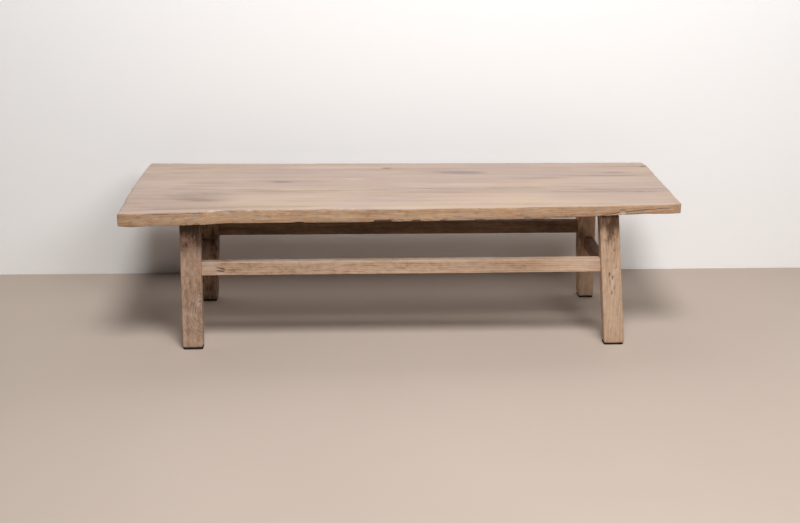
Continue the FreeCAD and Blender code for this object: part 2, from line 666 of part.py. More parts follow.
def make_short_rail(side):
    rail = add_body(f"stretcher_{side}")
    put(rail, short_rail_x(side), "0", "Sizes.short_rail_bottom")
    low, high = "Sizes.short_rail_bottom", "(Sizes.short_rail_bottom + Sizes.short_rail_height)"

    def shoulder(depth, height):
        return f"{inner_face_y(depth, height)} - {DEPTHS[depth]} * Sizes.fit_gap"

    sketch = add_sketch(rail, "Face", "YZ_Plane", "-Sizes.short_rail_thickness / 2")
    draw_outline(sketch, [(shoulder("front", low), "0"), (shoulder("rear", low), "0"),
                          (shoulder("rear", high), "Sizes.short_rail_height"),
                          (shoulder("front", high), "Sizes.short_rail_height")])
    bar = add_pad(rail, "Bar", sketch, "Sizes.short_rail_thickness")
    add_chamfer(rail, bar, lambda start, end: abs(end.y - start.y) > sizes["short_rail_height"],
                "Sizes.rail_arris")

    ends = {depth: f"({inner_face_y(depth, SHORT_MIDDLE)} + {DEPTHS[depth]} * Sizes.short_tenon_length)"
            for depth in DEPTHS}
    section = add_sketch(rail, "TenonSection", "XZ_Plane", f"-{ends['rear']}", "0",
                         "Sizes.short_rail_height / 2")
    draw_rectangle(section, "Sizes.short_tenon_thickness", "Sizes.short_tenon_height")
    add_pad(rail, "Tenons", section, f"{ends['rear']} - {ends['front']}")
    for depth in DEPTHS:
        hole = add_sketch(rail, f"PegHole_{depth}", "YZ_Plane", "Sizes.short_rail_thickness / 2",
                          short_peg_y(depth), "Sizes.short_rail_height / 2")
        draw_circle(hole, PEG_HOLE)
        add_pocket(rail, f"PegPocket_{depth}", hole, "Sizes.short_rail_thickness")
    return rail


def make_peg(label, turn, depth, x, y, z):
    """Tapered peg, turned from upright to its driving direction, whose head stands a little proud."""
    peg = doc.addObject("Part::Cone", label)
    peg.Label = label
    peg.Placement = FreeCAD.Placement(FreeCAD.Vector(0, 0, 0), turn)
    peg.setExpression("Radius1", "Sizes.peg_head_radius")
    peg.setExpression("Radius2", "Sizes.peg_tip_radius")
    peg.setExpression("Height", f"{depth} + Sizes.peg_proud")
    put(peg, x, y, z)
    return peg


def make_long_peg(depth, side):
    forwards = FreeCAD.Rotation(FreeCAD.Vector(1, 0, 0), 90)
    return make_peg(f"peg_long_{depth}_{side}", forwards, long_peg_depth(depth),
                    long_peg_x(depth, side), f"{long_peg_y(depth)} + Sizes.peg_proud", LONG_MIDDLE)


def make_short_peg(depth, side):
    inwards = FreeCAD.Rotation(FreeCAD.Vector(0, 1, 0), -90 * SIDES[side])
    return make_peg(f"peg_short_{depth}_{side}", inwards, short_peg_depth(depth, side),
                    f"{short_peg_x(depth, side)} + {SIDES[side]} * Sizes.peg_proud",
                    short_peg_y(depth), SHORT_MIDDLE)


pieces = [make_board("front", front_outline), make_board("rear", rear_outline)]
pieces += [make_seam_tenon(number, share) for number, share in enumerate(seam_tenon_shares, 1)]
pieces += [make_batten(side) for side in SIDES]
pieces += [make_long_rail(depth) for depth in DEPTHS]
pieces += [make_short_rail(side) for side in SIDES]
for depth in DEPTHS:
    for side in SIDES:
        pieces.append(make_leg(depth, side))
        pieces.append(make_wedge(depth, side))
        pieces.append(make_foot_pad(depth, side))
        pieces.append(make_long_peg(depth, side))
        pieces.append(make_short_peg(depth, side))
doc.recompute()

# Every object has to be sound, and every cut has to take something away
for item in doc.Objects:
    if "Invalid" in item.State or "Error" in item.State:
        raise RuntimeError(f"{item.Label} of {item.TypeId} is {item.State}")
    if item.TypeId in ("PartDesign::Pocket", "PartDesign::SubtractiveLoft", "PartDesign::Chamfer"):
        base = item.BaseFeature.Shape.Volume
        if item.Shape.Volume >= base - sizes["fit_gap"] ** 3:
            raise RuntimeError(f"{item.Label} cuts nothing")

for piece in pieces:
    shape = piece.Shape
    if shape.isNull() or not shape.isValid() or len(shape.Solids) != 1:
        raise RuntimeError(f"{piece.Label} has no sound single solid")
    shape.exportStep(f"parts/{piece.Label}.step")

print(len(pieces), "pieces written")
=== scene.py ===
import itertools
import math
from types import SimpleNamespace

import bmesh
import bpy
import numpy as np
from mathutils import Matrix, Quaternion, Vector


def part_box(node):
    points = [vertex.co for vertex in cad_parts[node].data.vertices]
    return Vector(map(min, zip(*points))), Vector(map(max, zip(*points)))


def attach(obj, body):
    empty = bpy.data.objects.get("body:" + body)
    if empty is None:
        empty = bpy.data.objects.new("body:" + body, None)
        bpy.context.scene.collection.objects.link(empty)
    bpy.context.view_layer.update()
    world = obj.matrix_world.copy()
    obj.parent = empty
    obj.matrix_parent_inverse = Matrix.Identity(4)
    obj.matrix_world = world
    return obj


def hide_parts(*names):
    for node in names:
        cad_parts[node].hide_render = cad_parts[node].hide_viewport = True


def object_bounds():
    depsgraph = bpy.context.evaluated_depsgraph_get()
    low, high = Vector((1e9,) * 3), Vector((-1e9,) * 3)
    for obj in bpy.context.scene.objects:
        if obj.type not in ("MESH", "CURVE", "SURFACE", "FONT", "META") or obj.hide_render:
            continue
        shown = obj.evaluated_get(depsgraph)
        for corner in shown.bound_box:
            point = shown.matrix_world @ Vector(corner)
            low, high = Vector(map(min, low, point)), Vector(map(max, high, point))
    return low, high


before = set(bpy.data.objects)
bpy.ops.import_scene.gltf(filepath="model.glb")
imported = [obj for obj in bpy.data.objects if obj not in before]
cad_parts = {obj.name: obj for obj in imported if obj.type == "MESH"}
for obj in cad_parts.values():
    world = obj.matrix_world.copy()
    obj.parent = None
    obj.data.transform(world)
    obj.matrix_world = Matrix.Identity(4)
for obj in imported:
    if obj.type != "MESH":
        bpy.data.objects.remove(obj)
cad_low, cad_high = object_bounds()

# A low table of old elm. X runs along the table, Y from front to back, Z up, all in metres.
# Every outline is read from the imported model: the scene adds wear, relief and finish to it.

SIDES = {"left": -1, "right": 1}
DEPTHS = {"front": -1, "rear": 1}

top_level = cad_high.z
slab_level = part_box("top_board_rear")[0].z
foot_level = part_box("foot_pad_front_left")[1].z

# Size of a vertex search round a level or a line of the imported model
near = 0.0002


def both_ways(operation):
    """An operator on signals, and its reflected form."""
    return (lambda self, other: self.finish.math(operation, self, other),
            lambda self, other: self.finish.math(operation, other, self))


class Signal:
    """A number that varies over a surface. Arithmetic on it adds the nodes that work it out."""

    __add__, __radd__ = both_ways("ADD")
    __sub__, __rsub__ = both_ways("SUBTRACT")
    __mul__, __rmul__ = both_ways("MULTIPLY")
    __truediv__, __rtruediv__ = both_ways("DIVIDE")
    __pow__, __rpow__ = both_ways("POWER")

    def __init__(self, finish, socket):
        self.finish = finish
        self.socket = socket

    def __abs__(self):
        return self.finish.math("ABSOLUTE", self)


class Finish:
    """A procedural material, written as expressions on signals."""

    def __init__(self, name, holder=None):
        self.material = holder or bpy.data.materials.new(name)
        self.material.use_nodes = True
        self.tree = self.material.node_tree
        self.tree.nodes.clear()

    def node(self, kind, values=None, settings=None):
        """Add a node: its settings first, then the value or the link of each socket."""
        made = self.tree.nodes.new(kind)
        for name, setting in (settings or {}).items():
            if name == "stops":
                self.set_stops(made.color_ramp, list(setting))
            else:
                setattr(made, name, setting)
        for name, value in (values or {}).items():
            if isinstance(value, Signal):
                self.tree.links.new(value.socket, made.inputs[name])
            else:
                made.inputs[name].default_value = value
        return made

    def set_stops(self, ramp, stops):
        while len(ramp.elements) < len(stops):
            ramp.elements.new(1)
        for element, (position, colour) in zip(ramp.elements, stops):
            element.position = position
            element.color = tone(*colour)

    def get(self, kind, output=0, values=None, settings=None):
        """Add a node, and take one of its outputs."""
        return Signal(self, self.node(kind, values, settings).outputs[output])

    def parts(self, kind, whole):
        """The three parts of a place or a colour."""
        made = self.node(kind, {0: whole})
        return [Signal(self, made.outputs[number]) for number in range(3)]

    def math(self, operation, *values):
        return self.get("ShaderNodeMath", 0, dict(enumerate(values)), {"operation": operation})

    def soft(self, value, low, high):
        return self.get("ShaderNodeMapRange", 0, {"Value": value, "From Min": low, "From Max": high},
                        {"interpolation_type": "SMOOTHSTEP"})

    def ramp(self, value, stops):
        """A run of colours, from stops as (place, colour on the eye's scale)."""
        return self.get("ShaderNodeValToRGB", "Color", {"Fac": value}, {"stops": stops})

    def blend(self, share, first, second):
        return self.get("ShaderNodeMix", 2, {0: share, 6: first, 7: second}, {"data_type": "RGBA"})

    def coats(self, colour, *coats):
        """Thin coats over a colour, each as (share, colour on the eye's scale)."""
        for share, coat in coats:
            colour = self.blend(share, colour, tone(*coat))
        return colour

    def dim(self, colour, factor):
        """A colour scaled by a signal."""
        return self.get("ShaderNodeVectorMath", 0, {0: colour, "Scale": factor}, {"operation": "SCALE"})

    def tint(self, colour, shares):
        """A colour scaled channel by channel."""
        return self.get("ShaderNodeVectorMath", 0, {0: colour, 1: shares}, {"operation": "MULTIPLY"})

    def place(self):
        """The place on the table, in metres."""
        return self.parts("ShaderNodeSeparateXYZ", self.get("ShaderNodeTexCoord", "Object"))

    def upward(self):
        """How far the surface faces up, from -1 to 1."""
        return self.parts("ShaderNodeSeparateXYZ", self.get("ShaderNodeNewGeometry", "Normal"))[2]

    def mark(self, name):
        """A mark that the mesh carries at its vertices."""
        return self.get("ShaderNodeAttribute", "Fac", None, {"attribute_name": name})

    def noise(self, a, b, c, detail=2.0, roughness=0.5, kind="Fac"):
        spot = self.get("ShaderNodeCombineXYZ", 0, {0: a, 1: b, 2: c})
        return self.get("ShaderNodeTexNoise", kind,
                        {"Vector": spot, "Scale": 1.0, "Detail": detail, "Roughness": roughness})

    def noises(self, a, b, c, detail=2.0):
        """Three noises at once, each about 0 and mostly within a quarter of it."""
        colour = self.noise(a, b, c, detail, kind="Color")
        return [part - 0.5 for part in self.parts("ShaderNodeSeparateColor", colour)]

    def close(self, colour, roughness, height, depth, shine, strength=1.0):
        """Shade the surface: its colour, roughness and relief vary, and its shine is one number."""
        bump = self.get("ShaderNodeBump", 0, {"Height": height, "Distance": depth, "Strength": strength})
        shader = self.get("ShaderNodeBsdfPrincipled", 0,
                          {"Base Color": colour, "Roughness": roughness, "Specular IOR Level": shine,
                           "Normal": bump})
        self.node("ShaderNodeOutputMaterial", {0: shader})
        return self.material


def soft(value, low, high):
    """0 at low, 1 at high and a smooth step between, for signals as for arrays."""
    if isinstance(value, Signal):
        return value.finish.soft(value, low, high)
    share = np.clip((value - low) / (high - low), 0, 1)
    return share * share * (3 - 2 * share)


def sine(value):
    if isinstance(value, Signal):
        return value.finish.math("SINE", value)
    return np.sin(value)


def tone(red, green, blue):
    """A colour on the eye's scale of 0 to 255, in linear light."""
    shares = [value / 255 for value in (red, green, blue)]
    return [s / 12.92 if s < 0.04045 else ((s + 0.055) / 1.055) ** 2.4 for s in shares] + [1.0]


# Noise, rows and rounds for the shapes

lattice = np.random.RandomState(11).uniform(-1, 1, (64, 64, 64))
seed_step = 7.3


def drift(points, lengths, seed=0):
    """Soft noise from -1 to 1 at points, which varies over its own length along each axis."""
    place = points / np.asarray(lengths) + seed_step * seed
    cell = np.floor(place).astype(int)
    part = place - cell
    part = part * part * (3 - 2 * part)
    total = np.zeros(len(points))
    for corner in itertools.product((0, 1), repeat=3):
        weight = np.prod(np.where(corner, part, 1 - part), axis=1)
        x, y, z = ((cell + corner) % len(lattice)).T
        total += weight * lattice[x, y, z]
    return total


# Insets of the rows next to an arris, and how far past its round an arris is rubbed, in radii
arris_rows = [0.0, 0.0006, 0.0013, 0.0022, 0.0033, 0.0048]
rub_reach = 1.38


def rows(span, pitch, bands=()):
    """Rows from one face to the other, as (share, offset) pairs: close at both faces and in the bands."""
    reach = arris_rows[-1]
    run = span - 2 * reach
    middle = []
    share = 0.0
    while True:
        step = min([pitch] + [fine for start, end, fine in bands if start <= share <= end]) / run
        share += step
        if share > 1 - step / 2:
            break
        middle.append(share)
    pairs = [(0, inset) for inset in arris_rows]
    pairs += [(share, reach * (1 - 2 * share)) for share in middle]
    pairs += [(1, -inset) for inset in reversed(arris_rows)]
    return np.array(pairs)


def box_skin(*axes):
    """The rows that meet at each point on the skin of a box, axis by axis, and the skin's faces."""
    shape = [len(axis) for axis in axes]
    skin = np.ones(shape, bool)
    skin[1:-1, 1:-1, 1:-1] = False
    index = np.full(shape, -1)
    index[skin] = np.arange(skin.sum())
    crossings = [axis[numbers] for axis, numbers in zip(axes, np.argwhere(skin).T)]
    sheets = [(index[:, :, 0], True), (index[:, :, -1], False), (index[:, 0], False),
              (index[:, -1], True), (index[0], True), (index[-1], False)]
    faces = []
    for sheet, turned in sheets:
        around = np.stack([sheet[:-1, :-1], sheet[1:, :-1], sheet[1:, 1:], sheet[:-1, 1:]], -1)
        faces.append(around.reshape(-1, 4)[:, ::-1 if turned else 1])
    return crossings, np.concatenate(faces)


def lay(rows_at, low, high):
    """Places between two faces, from the shares and offsets of their rows."""
    return low * (1 - rows_at[:, 0]) + high * rows_at[:, 0] + rows_at[:, 1]


def inset(place, low, high):
    """How far inside the nearer face a place lies, and whether that is the lower face."""
    return np.minimum(place - low, high - place), place - low < high - place


def set_back(inside, lower, low, high):
    return np.where(lower, low + inside, high - inside)


def round_off(inside, radius):
    """Draw the points of a box's skin onto the rounds of its arrises. Also how near each arris is."""
    pull = np.maximum(radius[:, None] - inside, 0)
    length = np.linalg.norm(pull, axis=1)
    share = (radius / np.maximum(length, radius))[:, None]
    return np.where(pull > 0, radius[:, None] - pull * share, inside), soft(length / radius, 1.0, rub_reach)


def add_object(name, data):
    made = bpy.data.objects.new(name, data)
    bpy.context.scene.collection.objects.link(made)
    return made


def solid(name, points, faces):
    mesh = bpy.data.meshes.new(name)
    mesh.from_pydata(points, [], faces)
    mesh.shade_smooth()
    return add_object(name, mesh)


def apply_modifiers(piece):
    graph = bpy.context.evaluated_depsgraph_get()
    piece.data = bpy.data.meshes.new_from_object(piece.evaluated_get(graph))
    piece.modifiers.clear()


def triples(items, name):
    """The three numbers that each item of a mesh holds under a name."""
    flat = np.zeros(len(items) * 3, np.float32)
    items.foreach_get(name, flat)
    return flat.reshape(-1, 3).astype(float)


def points_of(mesh):
    return triples(mesh.vertices, "co")


def packed_points(node):
    return points_of(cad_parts[node].data)


def normals_of(mesh):
    return triples(mesh.vertex_normals, "vector")


def swell(piece, relief):
    """Move each point out along its normal by its relief."""
    moved = points_of(piece.data) + normals_of(piece.data) * relief[:, None]
    piece.data.vertices.foreach_set("co", moved.astype(np.float32).ravel())
    piece.data.update()


def put_mark(piece, name, values):
    piece.data.attributes.new(name, "FLOAT", "POINT").data.foreach_set("value", values.astype(np.float32))


def stand_for(piece, node, material):
    """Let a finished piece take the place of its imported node."""
    piece.data.materials.append(material)
    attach(piece, "root")
    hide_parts(node)
    return piece


# Wood


# Depth of the grain's relief, and the places of the colours of unbleached wood
wood_relief = 0.0008
wood_places = (0.0, 0.35, 0.6, 0.82, 1.0)
edge_tones = [(216, 186, 156), (190, 157, 127), (166, 132, 104), (122, 92, 70), (62, 45, 35)]
golden = [(206, 177, 154), (184, 154, 131), (161, 131, 110), (124, 97, 78), (82, 63, 50)]
sunny = [(222, 194, 168), (203, 173, 146), (183, 152, 126), (146, 116, 91), (98, 75, 57)]
# Painted shade: the next two runs are dimmed copies of the wood's colours, for the rear rail, the rear left
# leg and the short rails, which stand in shadow under the top
shade_darkened_tones = [(160, 133, 108), (128, 102, 79), (99, 75, 56), (67, 49, 37), (39, 29, 23)]
shade_dimmed_tones = [(176, 146, 122), (148, 118, 96), (122, 95, 75), (86, 65, 51), (48, 36, 30)]
shaded = [(170, 138, 110), (146, 114, 88), (120, 92, 70), (86, 64, 49), (50, 37, 30)]
clean = [(214, 184, 150), (196, 162, 128), (172, 136, 104), (132, 100, 76), (90, 66, 50)]


def grain(finish, run, pith, seed, spacing=0.0034, sway=0.012, knots=(), curl=0.0):
    """Growth rings round a pith that lies along one axis, with the fibres and pores between them."""
    x, y, z = finish.place()
    along, across, deep = {"x": (x, y, z), "y": (y, x, z), "z": (z, x, y)}[run]
    sway_a, sway_b, drift_c = finish.noises(along * 2.4 + seed, across * 6, deep * 6, 2)
    bent = across + sway * sway_a
    sunk = deep + sway * sway_b
    radius = finish.math("SQRT", (bent - pith[0]) * (bent - pith[0]) + (sunk - pith[1]) * (sunk - pith[1]))
    for place, side, length, width, swelling in knots:
        far = ((along - place) / length) ** 2 + ((bent - side) / width) ** 2
        radius = radius + swelling * soft(far, 1.0, 0.0)
    ring = finish.math("FRACT", radius / spacing + drift_c * 2.0)
    late = soft(ring, 0.3, 0.88) * soft(ring, 1.0, 0.92)
    if curl:
        wave_a, wave_b, _ = finish.noises(along * 20 + seed, across * 26, deep * 26, 1)
        across = across + curl * wave_a
        deep = deep + curl * wave_b

    def drawn(rate_along, rate_across, detail, roughness=0.5):
        """Noise that is drawn out along the grain."""
        return finish.noise(along * rate_along + seed, across * rate_across, deep * rate_across, detail,
                            roughness)

    return SimpleNamespace(x=x, y=y, z=z, along=along, across=across, deep=deep, late=late, drawn=drawn,
                           fibre=drawn(9, 620, 3, 0.6), streak=drawn(5, 170, 3, 0.6),
                           bands=drawn(1.6, 38, 3, 0.55), blotch=drawn(4.5, 17, 3, 0.6),
                           fleck=drawn(42, 80, 4, 0.65), wander=(sway_a, sway_b),
                           pores=soft(drawn(75, 1500, 1), 0.6, 0.74) * soft(ring, 0.55, 0.2))


# Middles of the grain's figures, from which each one darkens or lightens the wood
figure_middles = {"late": 0.4, "pores": 0.0}


def figure(g, level, **weights):
    """A level plus the grain's figures, each by its weight."""
    return sum((weight * (getattr(g, name) - figure_middles.get(name, 0.5))
                for name, weight in weights.items()), level)


def spots(first, second, places):
    """Sum of soft spots, each as (place, place, half length, half width, amount)."""
    return sum((soft(((first - start) / length) ** 2 + ((second - side) / width) ** 2, 1.0, 0.0) * amount
                for start, side, length, width, amount in places), 0.0)


def crack_line(first, second, crack):
    """How deep a point lies in a wandering crack, from 0 to 1."""
    middle = crack.start[1] + (first - crack.start[0]) * crack.slope
    waves = sine(first * 61 + crack.phase) + 0.6 * sine(first * 173 + crack.phase)
    middle = middle + crack.wander * waves
    ends = (soft(first, crack.start[0], crack.start[0] + crack.taper)
            * soft(first, crack.end[0], crack.end[0] - crack.taper))
    return soft(abs(second - middle), crack.width, crack.width * 0.25) * ends


def crack(start, end, width, wander, phase, depth):
    slope = (end[1] - start[1]) / (end[0] - start[0])
    return SimpleNamespace(start=start, end=end, slope=slope, width=width, wander=wander, phase=phase,
                           depth=depth, taper=(end[0] - start[0]) * 0.3)


# Cracks in the upper side, by X and Y, and in the front edge, by X and Z
top_cracks = {
    "rear": [crack((-0.516, 0.064), (-0.276, 0.042), 0.0016, 0.0011, 0.4, 0.003),
             crack((0.505, 0.104), (0.784, 0.1), 0.0012, 0.0009, 1.9, 0.0012),
             crack((0.7, 0.214), (0.803, 0.213), 0.0014, 0.001, 2.6, 0.002),
             crack((-0.803, 0.121), (-0.735, 0.123), 0.001, 0.0006, 0.9, 0.0015)],
    "front": [crack((0.6, -0.087), (0.801, -0.086), 0.0013, 0.001, 3.1, 0.002),
              crack((-0.802, -0.188), (-0.73, -0.186), 0.001, 0.0006, 1.2, 0.0015)],
}
edge_cracks = [crack((-0.745, 0.4335), (-0.53, 0.4325), 0.0014, 0.0008, 0.7, 0.002),
               crack((0.548, 0.4085), (0.625, 0.4165), 0.0016, 0.0007, 2.2, 0.0025),
               crack((0.618, 0.416), (0.7, 0.425), 0.0015, 0.0007, 1.4, 0.0025),
               crack((0.66, 0.4235), (0.79, 0.4262), 0.0012, 0.0008, 0.2, 0.0015)]


# Boards of the top


def rim(points, along, across, way):
    """The outermost of the points on a rim, as places along it and across it."""
    line = {}
    for point in points:
        key = round(point[along], 4)
        line[key] = max(point[across] * way, line.get(key, -math.inf))
    return np.array(sorted(line)), np.array([line[key] for key in sorted(line)]) * way


def smooth_line(line, places, reach):
    """Heights of a broken line at places, averaged over a reach."""
    steps = np.linspace(-reach, reach, 9)
    return sum(np.interp(places + step, *line) for step in steps) / len(steps)


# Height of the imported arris, and where the ends, the outer edges and the seam are looked for
top_arris = 0.003
corner_x = 0.794
outer_reach = 0.15
seam_back = -0.06
seam_front = -0.015
# The bark side under the front edge: its slope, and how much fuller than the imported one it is
bark_slope = 15 / 48
bark_fullness = 0.0025
# How far along an edge and an end their broken lines are averaged
edge_reach = 0.02
end_reach = 0.012
# Rounds of the arrises and of the corners in plan, and the lower arris as a share of the outer round
outer_radius = 0.0042
seam_radius = 0.0009
plan_radius = 0.0035
seam_plan_radius = 0.0012
under_share = 0.22
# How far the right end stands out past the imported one
right_fullness = 0.0016


def board_lines(depth):
    """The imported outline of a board: its outer edge, its seam and its ends."""
    node = f"top_board_{depth}"
    sign = DEPTHS[depth]
    low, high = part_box(node)
    points = packed_points(node)
    x, y, z = points.T
    on_rim = np.abs(z - (top_level - top_arris)) < near
    on_seam = (np.abs(z - top_level) < near) & (y > seam_back) & (y < seam_front)
    on_edge = on_rim & (np.abs(x) < corner_x) & (y * sign > outer_reach)
    ends = {name: rim(points[on_rim & (x * side > corner_x)], 1, 0, side) for name, side in SIDES.items()}
    return SimpleNamespace(outer=rim(points[on_edge], 0, 1, sign), seam=rim(points[on_seam], 0, 1, -sign),
                           ends=ends, low=low, high=high)


def bark_rise(lines):
    """How far the underside has risen at the front edge, at places along the table."""
    points = packed_points("top_board_front")
    edge = np.interp(points[:, 0], *lines.outer)
    face = points[(np.abs(points[:, 1] - edge) < 0.0006) & (np.abs(points[:, 0]) < corner_x)]
    places, levels = rim(face, 0, 2, -1)
    return places, levels - slab_level


# Notches broken out of the front board's lower arris, as (X, half length, height)
notches = [(-0.064, 0.034, 0.0055), (0.03, 0.016, 0.0042), (0.104, 0.012, 0.0026), (0.345, 0.012, 0.0024),
           (-0.588, 0.012, 0.002), (-0.3, 0.016, 0.0018), (0.21, 0.02, 0.002)]


def lift_arris(x, inside):
    """Rise of the underside at the front edge: its notches, and a left end that is worn round."""
    ragged = np.stack([x, inside, 0 * x], 1)
    rise = 0.0035 * soft(x, -0.755, -0.803)
    for middle, length, height in notches:
        far = np.abs(x - middle) / length + 0.35 * drift(ragged, (0.005, 0.02, 1), 15)
        rise += height * soft(far, 1.0, 0.55)
    rise += 0.0005 * np.maximum(drift(ragged, (0.03, 0.03, 1), 16), 0)
    return rise * soft(inside, 0.016, 0.002)


# Relief of a board's faces, as (face, height, lengths over which it varies)
board_reliefs = [("top", 0.0001, (0.05, 0.005, 1)), ("edge", 0.0007, (0.07, 1, 0.014)),
                 ("edge", 0.0004, (0.05, 1, 0.0035)), ("edge", 0.00025, (0.012, 1, 0.004)),
                 ("end", 0.00035, (1, 0.006, 0.006)), ("underside", 0.0004, (0.008, 0.15, 1))]


# Depths of the hollows of the top, of the ripples in them and of the waves of the underside
hollow_depth = 0.0005
ripple_depth = 0.0002
wave_depth = 0.0003
# Pitch of a board's rows along, across and through it, and its bands of closer rows across
board_rows = {"front": (0.0033, 0.006, 0.0016, [(0.5, 0.62, 0.002)]),
              "rear": (0.0042, 0.006, 0.004, [(0.24, 0.36, 0.002)])}


def make_board(depth, material):
    """A board of the top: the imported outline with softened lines, hollows, worn arrises and cracks."""
    lines = board_lines(depth)
    sign = DEPTHS[depth]
    length, width, _ = lines.high - lines.low
    along, across, through, bands = board_rows[depth]
    axes = rows(length, along), rows(width, across, bands), rows(top_level - slab_level, through)
    (at_x, at_y, at_z), faces = box_skin(*axes)

    # The edges depend on X and the ends on Y, so a second round settles both
    x = lay(at_x, lines.low.x, lines.high.x)
    for _ in range(2):
        wavy = np.stack([x, 0 * x, 0 * x], 1)
        outer = smooth_line(lines.outer, x, edge_reach) + 0.0007 * drift(wavy, (0.03, 1, 1), 1)
        seam = smooth_line(lines.seam, x, edge_reach) + 0.0004 * drift(wavy, (0.02, 1, 1), 2)
        y_low, y_high = (outer, seam) if sign < 0 else (seam, outer)
        y = lay(at_y, y_low, y_high)
        x_low = smooth_line(lines.ends["left"], y, end_reach)
        x_high = smooth_line(lines.ends["right"], y, end_reach) + right_fullness
        x = lay(at_x, x_low, x_high)
    flat = np.stack([x, y, 0 * x], 1)
    hollow = (hollow_depth * (1 + drift(flat, (0.3, 0.14, 1), 3))
              + ripple_depth * drift(flat, (0.16, 0.016, 1), 4))
    z_high = top_level - hollow
    z_low = slab_level + wave_depth * drift(flat, (0.2, 0.05, 1), 5)
    if depth == "front":
        rise = np.interp(x, *bark_rise(lines))
        fullness = bark_fullness - 0.0014 * soft(x, 0.45, 0.6)
        z_low = z_low + np.maximum(rise - fullness - bark_slope * (y - y_low), 0)
        z_low = z_low + lift_arris(x, y - y_low)
    here = np.stack([x, y, lay(at_z, z_low, z_high)], 1)
    lows, highs = np.stack([x_low, y_low, z_low], 1), np.stack([x_high, y_high, z_high], 1)

    # Corners in plan: how deep each point lies inside the outline, and the way out of it
    inside, lower = inset(here, lows, highs)
    plan = inside[:, :2]
    seam_side = lower[:, 1] == (sign > 0)
    corner = np.where(seam_side, seam_plan_radius, plan_radius)[:, None]
    pull = np.maximum(corner - plan, 0)
    length = np.linalg.norm(pull, axis=1, keepdims=True)
    at_corner = (pull > 0).all(1, keepdims=True)
    share = corner / np.maximum(length, corner)
    plan = np.where(at_corner, corner - pull * share, plan)
    deep = np.where(at_corner, corner - length * share, plan.min(1, keepdims=True))
    near_end = plan[:, 0] <= plan[:, 1]
    way = np.where(at_corner, pull / np.maximum(length, near), np.stack([near_end, ~near_end], 1))

    at_seam = seam_side & ~near_end
    bites = np.maximum(drift(here, (0.018, 0.018, 0.02), 7), 0)
    worn = 1 + 0.35 * drift(here, (0.06, 0.06, 1), 6) + 0.5 * bites
    worn *= 1 + (0.8 if depth == "front" else 0.5) * soft(x, -0.58, -0.74)
    radius = np.where(at_seam, seam_radius, outer_radius * worn * np.where(lower[:, 2], under_share, 1))
    turned, wear = round_off(np.hstack([deep, inside[:, 2:]]), radius)
    inside = np.hstack([plan + way * (turned[:, :1] - deep), turned[:, 1:]])
    points = set_back(inside, lower, lows, highs)
    board = solid(f"board_{depth}", points.tolist(), faces.tolist())

    here = points_of(board.data)
    normals = normals_of(board.data)
    edge = soft(sign * normals[:, 1], 0.35, 0.8) * np.where(at_seam, 0, 1)
    shares = {"top": soft(normals[:, 2], 0.5, 0.95), "underside": soft(-normals[:, 2], 0.5, 0.95),
              "edge": edge, "end": soft(np.abs(normals[:, 0]), 0.5, 0.9)}
    chipped = edge_chips(here, edge) if depth == "front" else np.zeros(len(here))
    relief = sum(shares[face] * height * drift(here, lengths, 8 + number)
                 for number, (face, height, lengths) in enumerate(board_reliefs))
    for line in top_cracks[depth]:
        relief -= shares["top"] * line.depth * crack_line(here[:, 0], here[:, 1], line)
    if depth == "front":
        for line in edge_cracks:
            relief -= edge * line.depth * crack_line(here[:, 0], here[:, 2], line)
        relief -= chipped
    swell(board, relief)
    put_mark(board, "wear", np.where(at_seam, 0, wear) * soft(normals[:, 2], -0.5, 0.3))
    put_mark(board, "bleach", soft(normals[:, 2], 0.5, 0.92))
    put_mark(board, "chip", chipped / max(amount for _, _, _, amount in chips))
    put_mark(board, "seam", soft(np.where(seam_side, inside[:, 1], 1), 0.004, 0.0)
             * soft(points[:, 2], top_level - 0.012, top_level - 0.001))
    if depth == "rear":
        open_housings(board)
    return stand_for(board, f"top_board_{depth}", material)


# Chips out of the front board's arrises, as (X, height share, half length, depth)
chips = [
    (-0.618, 0.0, 0.006, 0.002), (-0.585, 0.0, 0.01, 0.0022), (-0.044, 0.04, 0.014, 0.004),
    (-0.016, 0.0, 0.01, 0.003), (-0.55, 1.0, 0.014, 0.002), (-0.465, 1.0, 0.01, 0.0022),
    (-0.402, 1.0, 0.008, 0.0018), (-0.23, 1.0, 0.012, 0.0016), (-0.12, 1.0, 0.016, 0.0016),
    (-0.07, 1.0, 0.01, 0.0016), (0.06, 0.0, 0.016, 0.002), (0.112, 0.0, 0.009, 0.002),
    (0.623, 0.42, 0.01, 0.003), (-0.592, 1.0, 0.01, 0.0016), (-0.5, 1.0, 0.012, 0.0016),
    (-0.44, 1.0, 0.02, 0.0014), (-0.355, 1.0, 0.014, 0.0014), (0.3, 1.0, 0.012, 0.0012),
    (0.345, 0.0, 0.012, 0.0022)
]


def edge_chips(here, edge):
    """Depth of the chips at points on the front edge."""
    height = (here[:, 2] - slab_level) / (top_level - slab_level)
    depth = np.zeros(len(here))
    ragged = 1 + 0.5 * drift(here, (0.004, 0.02, 0.004), 14)
    for x, level, length, amount in chips:
        far = (((here[:, 0] - x) / length) ** 2 + ((height - level) / 0.22) ** 2) * ragged
        depth += amount * soft(far, 1.0, 0.35) * edge
    return depth


# The battens' housings: clearance round a batten, how far the cutter reaches past the edge and below
# the top, and the angle from which an arris of the cut stays sharp
housing_gap = 0.0003
mouth_depth = 0.05
mouth_drop = 0.002
sharp_angle = 0.9


